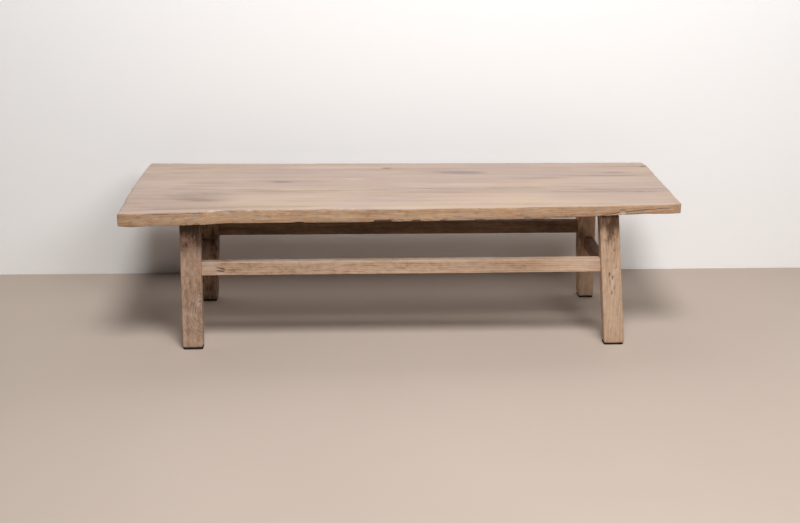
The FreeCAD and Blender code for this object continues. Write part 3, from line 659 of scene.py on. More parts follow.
def open_housings(board):
    """Cut the mouths of the battens' dovetail housings into the rear edge."""
    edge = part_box("top_board_rear")[1].y
    for side in SIDES:
        points = packed_points(f"batten_{side}")
        crest_level = points[:, 2].max()
        crest = points[points[:, 2] > crest_level - near, 0]
        middle = (crest.min() + crest.max()) / 2
        crest_half = (crest.max() - crest.min()) / 2 + housing_gap
        neck = points[np.abs(points[:, 2] - slab_level) < near, 0]
        neck_half = np.abs(neck - middle).min() + housing_gap
        flare = (crest_half - neck_half) / (crest_level - slab_level)
        mouth_half = neck_half - flare * mouth_drop
        section = [(-mouth_half, slab_level - mouth_drop), (mouth_half, slab_level - mouth_drop),
                   (crest_half, crest_level + housing_gap), (-crest_half, crest_level + housing_gap)]
        corners = [(middle + x, y, z) for y in (edge - mouth_depth, edge + mouth_depth) for x, z in section]
        cutter = solid("housing_cutter", corners, [[0, 1, 2, 3], [7, 6, 5, 4], [4, 5, 1, 0],
                                                   [5, 6, 2, 1], [6, 7, 3, 2], [7, 4, 0, 3]])
        cut = board.modifiers.new("mouth", "BOOLEAN")
        cut.object = cutter
        cut.solver = "MANIFOLD"
        apply_modifiers(board)
        bpy.data.objects.remove(cutter)
    board.data.materials.clear()
    board.data.set_sharp_from_angle(angle=sharp_angle)


# Spots on the upper side by X and Y, as (X, Y, half length, half width, amount)
top_darks = [
    (-0.361, 0.044, 0.045, 0.012, 0.4), (-0.34, 0.05, 0.16, 0.018, 0.18),
    (-0.6, -0.11, 0.13, 0.065, 0.18), (-0.56, -0.16, 0.09, 0.03, 0.12),
    (-0.056, 0.204, 0.02, 0.009, 0.36), (0.17, 0.15, 0.1, 0.024, 0.26),
    (0.676, 0.145, 0.05, 0.012, 0.2), (0.64, 0.103, 0.17, 0.012, 0.16),
    (0.419, 0.071, 0.11, 0.016, 0.1), (0.64, -0.072, 0.22, 0.05, 0.16),
    (0.28, -0.045, 0.24, 0.024, 0.2), (0.18, -0.074, 0.28, 0.02, 0.12),
    (0.69, 0.212, 0.13, 0.012, 0.18), (0.797, 0.213, 0.014, 0.01, 0.45),
    (-0.66, 0.205, 0.09, 0.018, 0.2), (-0.33, -0.062, 0.22, 0.018, 0.16),
    (0.02, 0.07, 0.2, 0.014, 0.08), (-0.58, 0.032, 0.12, 0.024, 0.16),
    (-0.62, -0.02, 0.1, 0.03, 0.1), (-0.74, -0.19, 0.3, 0.12, 0.16),
    (-0.62, -0.241, 0.18, 0.014, 0.24), (-0.42, -0.225, 0.18, 0.013, 0.24)
]
top_greys = [
    (0.19, 0.142, 0.1, 0.024, 0.9), (0.11, 0.15, 0.14, 0.03, 0.35),
    (0.67, 0.143, 0.08, 0.018, 0.6), (0.22, -0.068, 0.3, 0.034, 0.45),
    (-0.58, -0.12, 0.13, 0.06, 0.25), (0.67, -0.07, 0.18, 0.035, 0.35),
    (-0.36, 0.045, 0.08, 0.02, 0.35), (0.42, 0.072, 0.14, 0.02, 0.35),
    (-0.53, -0.235, 0.28, 0.018, 0.35)
]
# Pale spots; the three thin ones at X -0.33 are painted highlights, glints on the edges of the seam
top_pales_and_glints = [
    (-0.1, -0.236, 0.6, 0.018, 0.1), (0.48, -0.17, 0.38, 0.04, 0.06),
    (-0.33, -0.038, 0.055, 0.003, 0.35), (-0.33, -0.046, 0.05, 0.002, 0.25),
    (-0.33, 0.078, 0.05, 0.0022, 0.22), (-0.15, 0.072, 0.05, 0.01, 0.18),
    (0.684, 0.072, 0.17, 0.014, 0.1), (-0.3, 0.22, 0.3, 0.03, 0.08), (0.35, 0.24, 0.4, 0.02, 0.08)
]
top_sands = [
    (0.55, -0.165, 0.34, 0.045, 0.6), (0.25, -0.175, 0.25, 0.03, 0.3), (0.44, 0.03, 0.28, 0.04, 0.35)
]


# Pith and seed of each board, and its knots, as (X, Y, half length, half width, swelling)
board_piths = {"front": ((-0.14, 0.33), 3.1), "rear": ((0.16, 0.3), 11.7)}
board_knots = {"front": [(-0.63, -0.11, 0.12, 0.04, 0.012), (0.45, -0.2, 0.07, 0.02, 0.005)],
               "rear": [(0.2, 0.14, 0.1, 0.022, 0.012), (-0.361, 0.046, 0.06, 0.016, 0.009),
                        (-0.056, 0.204, 0.026, 0.01, 0.007), (0.676, 0.142, 0.07, 0.018, 0.007),
                        (0.797, 0.215, 0.02, 0.01, 0.006)]}


def board_finish(depth):
    """Scrubbed, sun-bleached elm above, golden brown on the edges, and darker below, where painted shade
    dims the faces that look down.
    """
    f = Finish(f"scrubbed_elm_{depth}")
    pith, seed = board_piths[depth]
    g = grain(f, "x", pith, seed, 0.0044, 0.02, board_knots[depth])
    bleach = f.mark("bleach")
    wear = f.mark("wear")
    seam = f.mark("seam")
    chip = f.mark("chip")
    x = g.x + 0.12 * g.wander[0]
    y = g.y + 0.035 * g.wander[1] + 0.01 * (g.streak - 0.5)
    # pale also carries the painted glints at the seam
    dark, cool, pale, sandy = [spots(x, y, table)
                               for table in (top_darks, top_greys, top_pales_and_glints, top_sands)]
    cracks = sum(crack_line(g.x, g.y, line) * (0.4 + 120 * line.depth) for line in top_cracks[depth])
    hairs = soft(f.noise(g.along * 3.2 + seed, g.across * 260, g.deep * 40, 1), 0.7, 0.77)

    shade = figure(g, 0.42, bands=0.52, blotch=0.42, late=0.07, streak=0.36, fibre=0.34, fleck=0.1,
                   pores=0.06) + 0.1 * hairs + dark - pale
    top = f.ramp(shade, [(0.0, (220, 203, 189)), (0.3, (208, 187, 171)), (0.5, (197, 174, 159)),
                         (0.75, (170, 148, 136)), (1.0, (110, 91, 81))])
    cloud = f.noise(g.x * 2.1 + seed, g.y * 11, seed, 2)
    top = f.coats(top, (0.4 * soft(cloud, 0.46, 0.68) + 0.7 * sandy, (209, 182, 152)),
                  (0.35 * soft(cloud, 0.5, 0.34), (188, 166, 161)), (0.5 * cool, (156, 147, 146)),
                  (0.7 * soft(cracks, 0.1, 0.8), (86, 68, 58)))

    low_edge = soft(g.z + 0.012 * (g.blotch - 0.5), slab_level + 0.014, slab_level)
    edge_shade = figure(g, 0.4, bands=0.45, blotch=0.6, late=0.12, streak=0.7, fibre=0.42, fleck=0.45,
                        pores=0.12)
    # Painted light and shade: the front edge is darker towards the left end and lighter towards the right,
    # as the light falls
    edge_shade = (edge_shade + 0.16 * low_edge + 0.07 * soft(g.x, -0.5, -0.8)
                  - 0.06 * soft(g.x, 0.1, 0.6))
    if depth == "front":
        lines = sum(crack_line(g.x, g.z, line) for line in edge_cracks)
        ragged = g.z + 0.01 * (g.fleck - 0.5)
        edge_shade = edge_shade + 0.45 * lines + 0.12 * soft(g.x, 0.1, 0.8) * soft(ragged, 0.424, 0.41)
    rust = soft(f.noise(g.x * 22 + seed, g.y * 10, g.z * 70, 2), 0.54, 0.74)
    warm, grey, speck = f.noises(g.x * 42 + seed, g.y * 42, g.z * 105, 4)
    side = f.ramp(edge_shade, zip(wood_places, edge_tones))
    side = f.coats(side, (0.28 * rust, (182, 132, 92)), (0.4 * soft(warm, 0.01, 0.13), (194, 144, 102)),
                   (0.4 * soft(grey, 0.02, 0.14), (166, 152, 140)),
                   (0.3 * soft(speck, 0.07, 0.18), (112, 86, 68)),
                   (0.6 * soft(chip * (0.4 + g.fleck), 0.25, 0.6), (206, 188, 174)))
    # Painted shade: faces that look down are dimmed
    side = f.dim(side, 1 - 0.45 * soft(f.upward(), -0.3, -0.8))
    colour = f.blend(bleach, side, top)
    rubbed = wear * soft(g.fibre + 0.5 * g.blotch, 0.55, 0.85) * soft(g.x, -0.62, -0.2)
    colour = f.coats(colour, (0.4 * rubbed, (214, 193, 172)))
    if depth == "front":
        flecks = wear * soft(g.fleck, 0.52, 0.6) * soft(g.x, -0.66, -0.54) * soft(g.x, 0.1, -0.3)
        colour = f.coats(colour, (0.85 * flecks, (236, 228, 220)))
    colour = f.coats(colour, (0.6 * seam * soft(g.blotch, 0.4, 0.62), (112, 92, 80)))
    rough = 0.62 + 0.18 * g.fibre + 0.1 * g.blotch
    height = figure(g, 0.0, fibre=0.4, streak=0.25, late=-0.25, pores=-0.4, bands=0.2)
    height = height - 0.4 * hairs - 1.2 * soft(cracks, 0.0, 1.0)
    return f.close(colour, rough, height, wood_relief, 0.3, 0.7)


# Legs


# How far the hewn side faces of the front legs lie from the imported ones, as shifts along X:
# left and right at the foot, left and right at the head
leg_trims = {("front", "left"): (0.0008, -0.0014, -0.0028, -0.0014),
             ("front", "right"): (0.002, 0.0008, 0.0006, 0.0004)}


def leg_shape(depth, side):
    """Corners of a leg's section at the foot and at the shoulder."""
    points = packed_points(f"leg_{depth}_{side}")

    def section(level):
        ring = points[np.abs(points[:, 2] - level) < near]
        return ring.min(0), ring.max(0)

    foot_low, foot_high = section(foot_level)
    head_low, head_high = section(slab_level)
    shifts = leg_trims.get((depth, side), (0, 0, 0, 0))
    for corner, shift in zip((foot_low, foot_high, head_low, head_high), shifts):
        corner[0] += shift

    def between(level):
        share = (level - foot_level) / (slab_level - foot_level)
        return ([foot_low[i] + (head_low[i] - foot_low[i]) * share for i in range(2)],
                [foot_high[i] + (head_high[i] - foot_high[i]) * share for i in range(2)])

    return between


leg_shapes = {(depth, side): leg_shape(depth, side) for depth in DEPTHS for side in SIDES}
leg_radius = 0.0034
foot_wear = 0.002
head_sink = 0.001
leg_pitch = 0.0034


# Lengths over which the relief of a post or rail varies, long and short, by its run
post_reliefs = {"x": ((0.25, 0.03, 0.03), (0.12, 0.004, 0.004)),
                "y": ((0.03, 0.15, 0.03), (0.004, 0.12, 0.004)),
                "z": ((0.03, 0.03, 0.15), (0.004, 0.004, 0.12))}
furrow_depth = 0.0004
scratch_depth = 0.00016
dent_depth = 0.0012


def sculpt_post(name, axes, bounds, radius, run, seed):
    """A long piece between the lower and upper faces that bounds gives: rounded, dented and furrowed."""
    crossings, faces = box_skin(*axes)
    lows, highs = bounds(*crossings)
    here = np.stack([lay(*three) for three in zip(crossings, lows, highs)], 1)
    lows, highs = [np.stack(np.broadcast_arrays(*sides, here[:, 0])[:3], 1) for sides in (lows, highs)]
    inside, lower = inset(here, lows, highs)
    bites = np.maximum(drift(here, (0.014, 0.014, 0.014), seed + 1), 0) ** 2
    worn = 1 + 0.3 * drift(here, (0.05, 0.05, 0.05), seed) + 0.6 * bites
    turned, wear = round_off(inside, (radius + foot_wear * soft(here[:, 2], 0.04, 0.006)) * worn)
    piece = solid(name, set_back(turned, lower, lows, highs).tolist(), faces.tolist())
    here = points_of(piece.data)
    long, short = post_reliefs[run]
    relief = furrow_depth * (drift(here, long, seed + 2) - 1) + scratch_depth * drift(here, short, seed + 3)
    dents = np.maximum(drift(here, (0.012, 0.012, 0.012), seed + 4) - 0.55, 0)
    swell(piece, relief - dent_depth * dents)
    put_mark(piece, "wear", wear)
    return piece


def make_leg(depth, side, seed, material):
    shape = leg_shapes[depth, side]
    low, high = shape(foot_level)
    axes = [rows(span, leg_pitch) for span in (high[0] - low[0], high[1] - low[1], slab_level - foot_level)]

    def bounds(at_x, at_y, at_z):
        z = lay(at_z, foot_level, slab_level + head_sink)
        lows, highs = shape(z)
        return (*lows, foot_level), (*highs, slab_level + head_sink)

    leg = sculpt_post(f"post_{depth}_{side}", axes, bounds, leg_radius, "z", seed)
    return stand_for(leg, f"leg_{depth}_{side}", material)


def frame_finish(name, run, pith, seed, tones, knots=(), marks_and_shade=None, burl=0.5, spacing=0.0036, lines=0.16,
                 streaks=0.6, curl=0.006, fibres=0.42):
    """Golden-brown old elm with clear grain lines, handling wear on the arrises and dark stains, and the
    painted shade that a leg's marks bring.
    """
    f = Finish(name)
    g = grain(f, run, pith, seed, spacing, 0.014, knots, curl)
    wear = f.mark("wear")
    shade = figure(g, 0.42, bands=0.5, blotch=0.7, late=lines, streak=streaks, fibre=fibres, fleck=burl,
                   pores=0.12)
    # On the legs the marks carry painted shade: the shadow of the top and, on the rear right leg, of the
    # short rail
    stain_and_shade, pale = marks_and_shade(g) if marks_and_shade else (0.0, 0.0)
    colour = f.ramp(shade + stain_and_shade, zip(wood_places, tones))
    colour = f.coats(colour, (0.22 * soft(g.drawn(9, 50, 2), 0.55, 0.75), (174, 128, 94)))
    grey = soft(g.drawn(26, 70, 3, 0.6), 0.54, 0.68)
    colour = f.blend(0.28 * grey, colour, f.dim(colour, 0.86))
    warm = soft(g.drawn(34, 90, 3, 0.6), 0.56, 0.7)
    colour = f.blend(0.5 * warm, colour, f.tint(colour, [1.06, 0.93, 0.8]))
    rubbed = wear * soft(g.fibre + 0.6 * g.blotch, 0.6, 0.95)
    colour = f.coats(colour, (0.4 * rubbed, (214, 188, 162)), (pale, (214, 200, 194)))
    height = figure(g, 0.0, fibre=fibres, streak=0.5 * streaks, late=-2.5 * lines, pores=-0.4, bands=0.25,
                    fleck=0.2)
    return f.close(colour, 0.6 + 0.2 * g.fibre, height, wood_relief, 0.32, 0.8)


# Spots by height and X that darken the legs: stains and scars, a darker patch on the rear left leg, and on
# the rear right leg a painted shadow of the short rail and the front leg
leg_stains_and_shadow = {
    ("rear", "left"): [(0.195, -0.605, 0.075, 0.06, 0.2)],
    # Painted shadow: the short rail and the front leg shade this part of the rear right leg
    ("rear", "right"): [(0.192, 0.588, 0.072, 0.032, 0.42)],
    ("front", "right"): [(0.222, 0.603, 0.01, 0.005, 0.55), (0.214, 0.612, 0.008, 0.004, 0.45),
                         (0.198, 0.605, 0.014, 0.003, 0.4), (0.166, 0.612, 0.007, 0.004, 0.55),
                         (0.182, 0.62, 0.014, 0.003, 0.35), (0.244, 0.621, 0.008, 0.003, 0.3),
                         (0.285, 0.614, 0.036, 0.003, 0.3), (0.367, 0.601, 0.016, 0.012, 0.1),
                         (0.335, 0.588, 0.035, 0.012, 0.2), (0.045, 0.65, 0.008, 0.002, 0.25),
                         (0.33, 0.613, 0.03, 0.012, -0.12), (0.335, 0.6, 0.03, 0.03, 0.08)],
    ("front", "left"): [(0.319, -0.628, 0.012, 0.012, 0.12), (0.228, -0.627, 0.014, 0.007, 0.16),
                        (0.204, -0.62, 0.018, 0.007, 0.18), (0.179, -0.633, 0.014, 0.007, 0.14),
                        (0.031, -0.624, 0.01, 0.01, 0.12), (0.262, -0.612, 0.02, 0.01, 0.12),
                        (0.175, -0.625, 0.07, 0.055, 0.12), (0.015, -0.62, 0.035, 0.06, -0.2)],
}
leg_pales = {
    ("front", "right"): [(0.192, 0.6125, 0.02, 0.0045, 0.8), (0.208, 0.607, 0.01, 0.004, 0.4)],
    ("front", "left"): [(0.295, -0.601, 0.016, 0.007, 0.25), (0.141, -0.601, 0.014, 0.007, 0.25)],
}


# The knot in the lower half of the left front leg
knot_x = -0.59
knot_z = 0.115
knot_stretch = 1.8
arc_spacing = 0.0068


def knot_swirl(g):
    """Pale broken arcs round the knot, and its brown heart."""
    high, wide = (g.z - knot_z) / knot_stretch, g.x - knot_x
    far = (high * high + wide * wide) ** 0.5 + 0.012 * (g.fleck - 0.5)
    arcs = g.z.finish.math("FRACT", far / arc_spacing)
    broken = (soft(abs(arcs - 0.5), 0.3, 0.12) * soft(far, 0.046, 0.04) * soft(far, 0.012, 0.018)
              * soft(g.blotch, 0.38, 0.58))
    return broken, soft(far, 0.056, 0.036)


def leg_marks_and_shade(depth, side):
    def marks_and_shade(g):
        """Painted shadow of the top on the upper leg, a darker foot, and the stains, scars and painted
        shadow spots of this leg.
        """
        ragged = g.z + 0.03 * (g.blotch - 0.5) + 0.008 * (g.fibre - 0.5)
        # Painted shadow: the upper leg is darkened where the top shades it, most on the rear left leg; the
        # foot is darker too
        top_shadow_and_dark_foot = 0.22 * soft(ragged, 0.33, 0.38) + 0.08 * soft(ragged, 0.04, 0.0)
        speckle = soft(g.fleck, 0.45, 0.6)
        if side == "right":
            top_shadow_and_dark_foot = top_shadow_and_dark_foot + 0.22 * soft(ragged, 0.27, 0.37) * (1.0 + 0.3 * speckle)
        elif depth == "front":
            top_shadow_and_dark_foot = top_shadow_and_dark_foot + 0.5 * soft(ragged, 0.285, 0.355) - 0.04 * speckle
        else:
            top_shadow_and_dark_foot = top_shadow_and_dark_foot + 0.42 * soft(ragged, 0.24, 0.33) + 0.12 * speckle
        height = g.z + 0.02 * g.wander[0] + 0.03 * (g.streak - 0.5)
        across = g.x + 0.02 * (g.fleck - 0.5)
        stains_and_shadow = spots(height, across, leg_stains_and_shadow.get((depth, side), []))
        pales = spots(height, across, leg_pales.get((depth, side), []))
        if (depth, side) == ("front", "left"):
            arcs, heart = knot_swirl(g)
            pales = pales + 0.42 * arcs
            stains_and_shadow = stains_and_shadow + 0.1 * heart
        return top_shadow_and_dark_foot + stains_and_shadow, pales

    return marks_and_shade


# Cuts near the left end of the front rail, by X and Z
rail_cuts = [crack((-0.548, 0.251), (-0.516, 0.2445), 0.0026, 0.0003, 0.3, 0.8),
             crack((-0.546, 0.2405), (-0.518, 0.237), 0.0022, 0.0003, 1.7, 0.7),
             crack((-0.512, 0.2405), (-0.488, 0.2385), 0.0012, 0.0003, 2.9, 0.3)]


def rail_marks(g):
    """Short cuts, a pale rubbed end and a darker middle on the front rail."""
    across = g.z + 0.002 * (g.fleck - 0.5)
    cuts = sum(cut.depth * crack_line(g.x, across, cut) for cut in rail_cuts)
    pales = spots(g.x, g.z, [(-0.565, 0.262, 0.04, 0.006, 0.45), (-0.535, 0.232, 0.022, 0.004, 0.55),
                             (-0.56, 0.248, 0.03, 0.01, 0.25), (0.56, 0.262, 0.05, 0.005, 0.35),
                             (-0.3, 0.264, 0.3, 0.004, 0.3), (0.1, 0.264, 0.3, 0.004, 0.3)])
    mottle = 0.12 * soft(g.fleck, 0.45, 0.62) * soft(g.x, -0.56, -0.5) * soft(g.x, 0.3, 0.0)
    ends = 0.02 * soft(g.x, -0.5, -0.58) - 0.14 * soft(g.x, 0.36, 0.5) + 0.16 * soft(g.x, 0.53, 0.57)
    return cuts + mottle + ends, pales


# Stretchers


def inner_face(depth, side, level):
    """X of the leg face that is turned to the middle of the table."""
    lows, highs = leg_shapes[depth, side](level)
    return highs[0] if side == "left" else lows[0]


# How far each long rail's lower and upper faces sit above their packed places, left and right
rail_lifts = {"front": ((0.0007, 0.0019), (0.0002, 0.0009)),
              "rear": ((-0.0008, -0.0008), (-0.0008, -0.0008))}
rail_radius = 0.0026
rail_sink = 0.0015
rail_pitch = 0.003
long_pitch = 0.0045
short_pitch = 0.004


def make_long_rail(depth, seed, material):
    low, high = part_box(f"stretcher_{depth}")
    middle = (low.z + high.z) / 2
    left, right = inner_face(depth, "left", middle), inner_face(depth, "right", middle)
    axes = (rows(right - left, long_pitch), rows(high.y - low.y, rail_pitch),
            rows(high.z - low.z, rail_pitch))

    def bounds(at_x, at_y, at_z):
        z_low, z_high = [level + left_lift * (1 - at_x[:, 0]) + right_lift * at_x[:, 0]
                         for level, (left_lift, right_lift) in zip((low.z, high.z), rail_lifts[depth])]
        z = lay(at_z, z_low, z_high)
        return ((inner_face(depth, "left", z) - rail_sink, low.y, z_low),
                (inner_face(depth, "right", z) + rail_sink, high.y, z_high))

    rail = sculpt_post(f"long_rail_{depth}", axes, bounds, rail_radius, "x", seed)
    return stand_for(rail, f"stretcher_{depth}", material)


def make_short_rail(side, seed, material):
    low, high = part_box(f"stretcher_{side}")

    def faces_y(level):
        return (leg_shapes["front", side](level)[1][1] - rail_sink,
                leg_shapes["rear", side](level)[0][1] + rail_sink)

    front, rear = faces_y((low.z + high.z) / 2)
    axes = (rows(high.x - low.x, rail_pitch), rows(rear - front, short_pitch),
            rows(high.z - low.z, rail_pitch))

    def bounds(at_x, at_y, at_z):
        front, rear = faces_y(lay(at_z, low.z, high.z))
        return (low.x, front, low.z), (high.x, rear, high.z)

    rail = sculpt_post(f"short_rail_{side}", axes, bounds, rail_radius, "y", seed)
    return stand_for(rail, f"stretcher_{side}", material)


# Battens, pegs and pads


def carve(name, node, voxel):
    """A fine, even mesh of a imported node's own shape."""
    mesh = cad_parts[node].data.copy()
    mesh.materials.clear()
    piece = add_object(name, mesh)
    remesh = piece.modifiers.new("even", "REMESH")
    remesh.mode = "VOXEL"
    remesh.voxel_size = voxel
    remesh.use_smooth_shade = True
    apply_modifiers(piece)
    piece.data.name = name
    return piece


batten_voxel = 0.0022
pad_voxel = 0.0011


def make_batten(side, seed, material):
    batten = carve(f"slid_batten_{side}", f"batten_{side}", batten_voxel)
    here = points_of(batten.data)
    relief = 0.0003 * (drift(here, (0.03, 0.14, 0.03), seed) - 1)
    relief += 0.00012 * drift(here, (0.004, 0.1, 0.004), seed)
    relief *= soft(here[:, 2], slab_level, slab_level - 0.002)
    swell(batten, relief)
    low = here[:, 2].min()
    put_mark(batten, "wear", soft(here[:, 2], low + 0.004, low))
    return stand_for(batten, f"batten_{side}", material)


def make_pad(depth, side, material):
    """Felt pad: a little squashed, with a soft rim."""
    pad = carve(f"felt_{depth}_{side}", f"foot_pad_{depth}_{side}", pad_voxel)
    here = points_of(pad.data)
    normals = normals_of(pad.data)
    level = soft(np.abs(normals[:, 2]), 0.6, 0.95)
    swell(pad, (1 - level) * (0.0003 * drift(here, (0.004, 0.004, 0.002), 31) - 0.0002))
    stand_for(pad, f"foot_pad_{depth}_{side}", material)
    return pad


def even_out(mesh):
    """Turn all faces of a closed mesh outwards."""
    work = bmesh.new()
    work.from_mesh(mesh)
    bmesh.ops.recalc_face_normals(work, faces=work.faces)
    work.to_mesh(mesh)
    work.free()


peg_sides = 28
peg_taper = 0.1
# Rings of a peg's head, as (depth below the head, share of the radius), and of its shank, by share
peg_head = [(0.0, 0.45), (0.0001, 0.7), (0.0004, 0.88), (0.001, 0.97), (0.0018, 1.0)]
peg_shank = (0.2, 0.4, 0.6, 0.8, 1.0)


def make_peg(node, axis, way, seed, material):
    """Whittled peg: uneven sides, a shallow dome on its head."""
    low, high = [np.array(corner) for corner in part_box(node)]
    first, second = [number for number in range(3) if number != axis]
    radius = (high[first] - low[first]) / 2
    length = high[axis] - low[axis]
    rings = peg_head + [(length * share, 1 - peg_taper * share) for share in peg_shank]
    depths, sizes = np.array(rings).T
    angles = 2 * math.pi * np.arange(peg_sides) / peg_sides
    facets = 0.035 * (1 + np.sin(3 * angles + seed)) + 0.02 * (1 + np.sin(7 * angles + 2 * seed))
    reach = radius * sizes[:, None] * (1 - facets)
    points = np.tile((low + high) / 2, (len(rings) * peg_sides + 2, 1))
    points[:-2, first] += (reach * np.cos(angles)).ravel()
    points[:-2, second] += (reach * np.sin(angles)).ravel()
    depths = np.append(np.repeat(depths, peg_sides), (0, length))
    points[:, axis] = (high if way > 0 else low)[axis] - way * depths

    def pairs(ring):
        """Numbers of the neighbouring points round a ring."""
        start = ring * peg_sides
        return [(start + number, start + (number + 1) % peg_sides) for number in range(peg_sides)]

    last = len(rings) - 1
    faces = [[here, there, there + peg_sides, here + peg_sides]
             for ring in range(last) for here, there in pairs(ring)]
    for tip, ring in ((-2, 0), (-1, last)):
        faces += [[len(points) + tip, here, there] for here, there in pairs(ring)]
    peg = solid(f"whittled_{node}", points.tolist(), faces)
    even_out(peg.data)
    return stand_for(peg, node, material)


def felt_finish():
    f = Finish("dense_felt")
    x, y, z = f.place()
    fluff = f.noise(x * 900, y * 900, z * 900, 4, 0.7)
    clumps = f.noise(x * 160, y * 160, z * 160, 3)
    dust = soft(clumps + 0.4 * fluff, 0.72, 0.95)
    colour = f.ramp(fluff, [(0.25, (30, 26, 24)), (0.75, (58, 51, 47))])
    colour = f.coats(colour, (0.5 * dust, (110, 100, 90)))
    return f.close(colour, 0.92 + 0.05 * fluff, fluff + 0.5 * clumps, 0.0006, 0.1)


def peg_finish():
    f = Finish("peg_end_grain")
    x, y, z = f.place()
    pores = f.noise(x * 1500, y * 1500, z * 1500, 2)
    cloud = f.noise(x * 90, y * 90, z * 90, 2)
    shade = 0.5 + 1.2 * (cloud - 0.5) + 0.9 * (pores - 0.5)
    colour = f.ramp(shade, [(0.1, (168, 132, 100)), (0.5, (134, 100, 74)), (0.9, (78, 56, 42))])
    return f.close(colour, 0.65 + 0.1 * pores, pores, 0.0003, 0.3)


# The table

for depth in DEPTHS:
    make_board(depth, board_finish(depth))

# First seed of each kind of piece, the step to the next one, and the level at which a leg's pith is set
leg_seed = 40
long_seed = 60
short_seed = 70
batten_seed = 80
next_seed = 5
pith_level = 0.2

legs = list(itertools.product(DEPTHS, SIDES))
leg_tones = {("front", "left"): golden, ("front", "right"): sunny, ("rear", "left"): shade_dimmed_tones,
             ("rear", "right"): sunny}
leg_figures = {("front", "left"): {"knots": [(0.16, -0.585, 0.15, 0.056, 0.03)], "burl": 1.5,
                                   "spacing": 0.0075, "lines": 0.1, "streaks": 0.2, "curl": 0.03,
                                   "fibres": 0.2}}
for number, (depth, side) in enumerate(legs):
    seed = leg_seed + next_seed * number
    low, high = leg_shapes[depth, side](pith_level)
    pith = (low[0] - 0.02 if side == "left" else high[0] + 0.05, high[1] + 0.03)
    finish = frame_finish(f"leg_elm_{depth}_{side}", "z", pith, seed * 0.37, leg_tones[depth, side],
                          marks_and_shade=leg_marks_and_shade(depth, side), **leg_figures.get((depth, side), {"burl": 0.8}))
    make_leg(depth, side, seed, finish)

for number, (depth, tones, marks_and_shade) in enumerate([("front", sunny, rail_marks), ("rear", shade_darkened_tones, None)]):
    finish = frame_finish(f"long_rail_elm_{depth}", "x", (-0.1 + 0.3 * number, 0.19), 5.3 + number, tones,
                          marks_and_shade=marks_and_shade)
    make_long_rail(depth, long_seed + next_seed * number, finish)
for number, side in enumerate(SIDES):
    finish = frame_finish(f"short_rail_elm_{side}", "y", (SIDES[side] * 0.55, 0.16), 8.6 + number, shade_dimmed_tones)
    make_short_rail(side, short_seed + next_seed * number, finish)

for number, side in enumerate(SIDES):
    finish = frame_finish(f"batten_elm_{side}", "y", (SIDES[side] * 0.33, 0.33), 13.4 + number, shaded)
    make_batten(side, batten_seed + next_seed * number, finish)

felt = felt_finish()
peg_wood = peg_finish()
for number, (depth, side) in enumerate(legs):
    make_pad(depth, side, felt)
    make_peg(f"peg_long_{depth}_{side}", 1, 1, number, peg_wood)
    make_peg(f"peg_short_{depth}_{side}", 0, SIDES[side], number + 4, peg_wood)

inner = frame_finish("clean_planed_elm", "x", (0.0, 0.3), 17.2, clean)
for name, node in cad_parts.items():
    if name.startswith(("seam_tenon_", "wedge_")):
        node.data.materials.clear()
        node.data.materials.append(inner)


# Floor, backdrop, light and camera


def stage_plane(name, corners, material):
    mesh = bpy.data.meshes.new(name)
    mesh.from_pydata(corners, [], [[0, 1, 2, 3]])
    mesh.materials.append(material)
    add_object(name, mesh)


floor_reach = 3.6
wall_y = 0.455
wall_height = 3.2
wall_whiteness = 1.12
room_level = 0.02


def one_sided(f, colour):
    """A matt stage plane, clear from its other side, so that the table can be seen from there."""
    matt = f.get("ShaderNodeBsdfDiffuse", 0, {0: colour})
    clear = f.get("ShaderNodeBsdfTransparent")
    back = f.get("ShaderNodeNewGeometry", "Backfacing")
    mixed = f.get("ShaderNodeMixShader", 0, {0: back, 1: matt, 2: clear})
    f.node("ShaderNodeOutputMaterial", {0: mixed})
    return f.material


def floor_finish():
    f = Finish("pale_floor")
    x, y, z = f.place()
    cloud = f.noise(x * 1.1, y * 1.1, z, 3)
    return one_sided(f, f.ramp(cloud, [(0.3, (203, 187, 174)), (0.7, (208, 192, 179))]))


def wall_finish():
    f = Finish("white_backdrop")
    seen = f.get("ShaderNodeLightPath", "Is Camera Ray")
    return one_sided(f, f.blend(seen, tone(238, 238, 240), [wall_whiteness] * 3 + [1]))


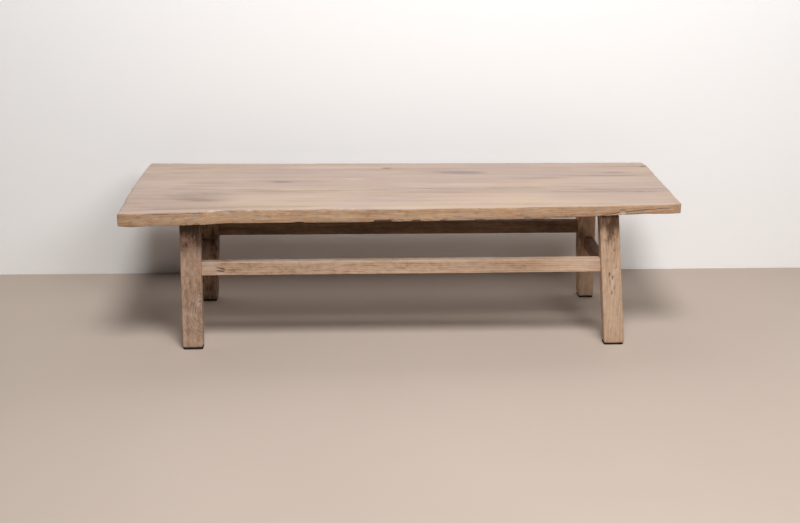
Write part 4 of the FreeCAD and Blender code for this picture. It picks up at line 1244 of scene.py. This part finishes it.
stage_plane("floor", [(-floor_reach, -floor_reach, 0), (floor_reach, -floor_reach, 0),
                      (floor_reach, floor_reach, 0), (-floor_reach, floor_reach, 0)], floor_finish())
stage_plane("backdrop", [(-floor_reach, wall_y, 0), (floor_reach, wall_y, 0),
                         (floor_reach, wall_y, wall_height), (-floor_reach, wall_y, wall_height)],
            wall_finish())


def room_light():
    """Pale behind the stage, and dim as a light."""
    f = Finish("soft_room", bpy.data.worlds.new("soft_room"))
    seen = f.get("ShaderNodeLightPath", "Is Camera Ray")
    dim, pale = [f.get("ShaderNodeBackground", 0, {"Color": tone(*colour), "Strength": strength})
                 for colour, strength in (((255, 255, 255), room_level), ((226, 222, 217), 1.0))]
    mixed = f.get("ShaderNodeMixShader", 0, {0: seen, 1: dim, 2: pale})
    f.node("ShaderNodeOutputWorld", {0: mixed})
    return f.material


bpy.context.scene.world = room_light()


def facing(turn, dip):
    """The direction that turns from +Y towards +X and dips, by angles in radians."""
    return Vector((math.sin(turn) * math.cos(dip), math.cos(turn) * math.cos(dip), -math.sin(dip)))


def aim(holder, place, ahead, roll=0.0):
    """Stand a lamp or the camera at a place, and turn it to look ahead."""
    holder.location = place
    holder.rotation_mode = "QUATERNION"
    holder.rotation_quaternion = ahead.to_track_quat("-Z", "Y") @ Quaternion((0, 0, 1), roll)


lamp_aim = Vector((0, 0, 0.3))
lamp_distance = 4.0
lamp_size = 1.2


def add_lamp(name, azimuth, elevation, power):
    """A soft round lamp that looks at the table, by its angles in degrees from the front and the floor."""
    light = bpy.data.lights.new(name, "AREA")
    light.shape = "DISK"
    light.size = lamp_size
    light.energy = power
    ahead = facing(-math.radians(azimuth), math.radians(elevation))
    aim(add_object(name, light), lamp_aim - lamp_distance * ahead, ahead)


add_lamp("key_lamp", 2, 58, 100)
add_lamp("low_lamp", 22, 30, 37)
add_lamp("side_lamp", 32, 52, 14)

camera_place = (-0.1586, -3.2448, 1.3261)
camera_pitch = 0.3352
camera_yaw = 0.0477
camera_roll = 0.0073
camera_data = bpy.data.cameras.new("photo_view")
camera_data.lens = 50
camera_data.sensor_width = 36
camera = add_object("photo_view", camera_data)
aim(camera, camera_place, facing(camera_yaw, camera_pitch), camera_roll)
bpy.context.scene.camera = camera
bpy.context.scene.view_settings.view_transform = "Standard"
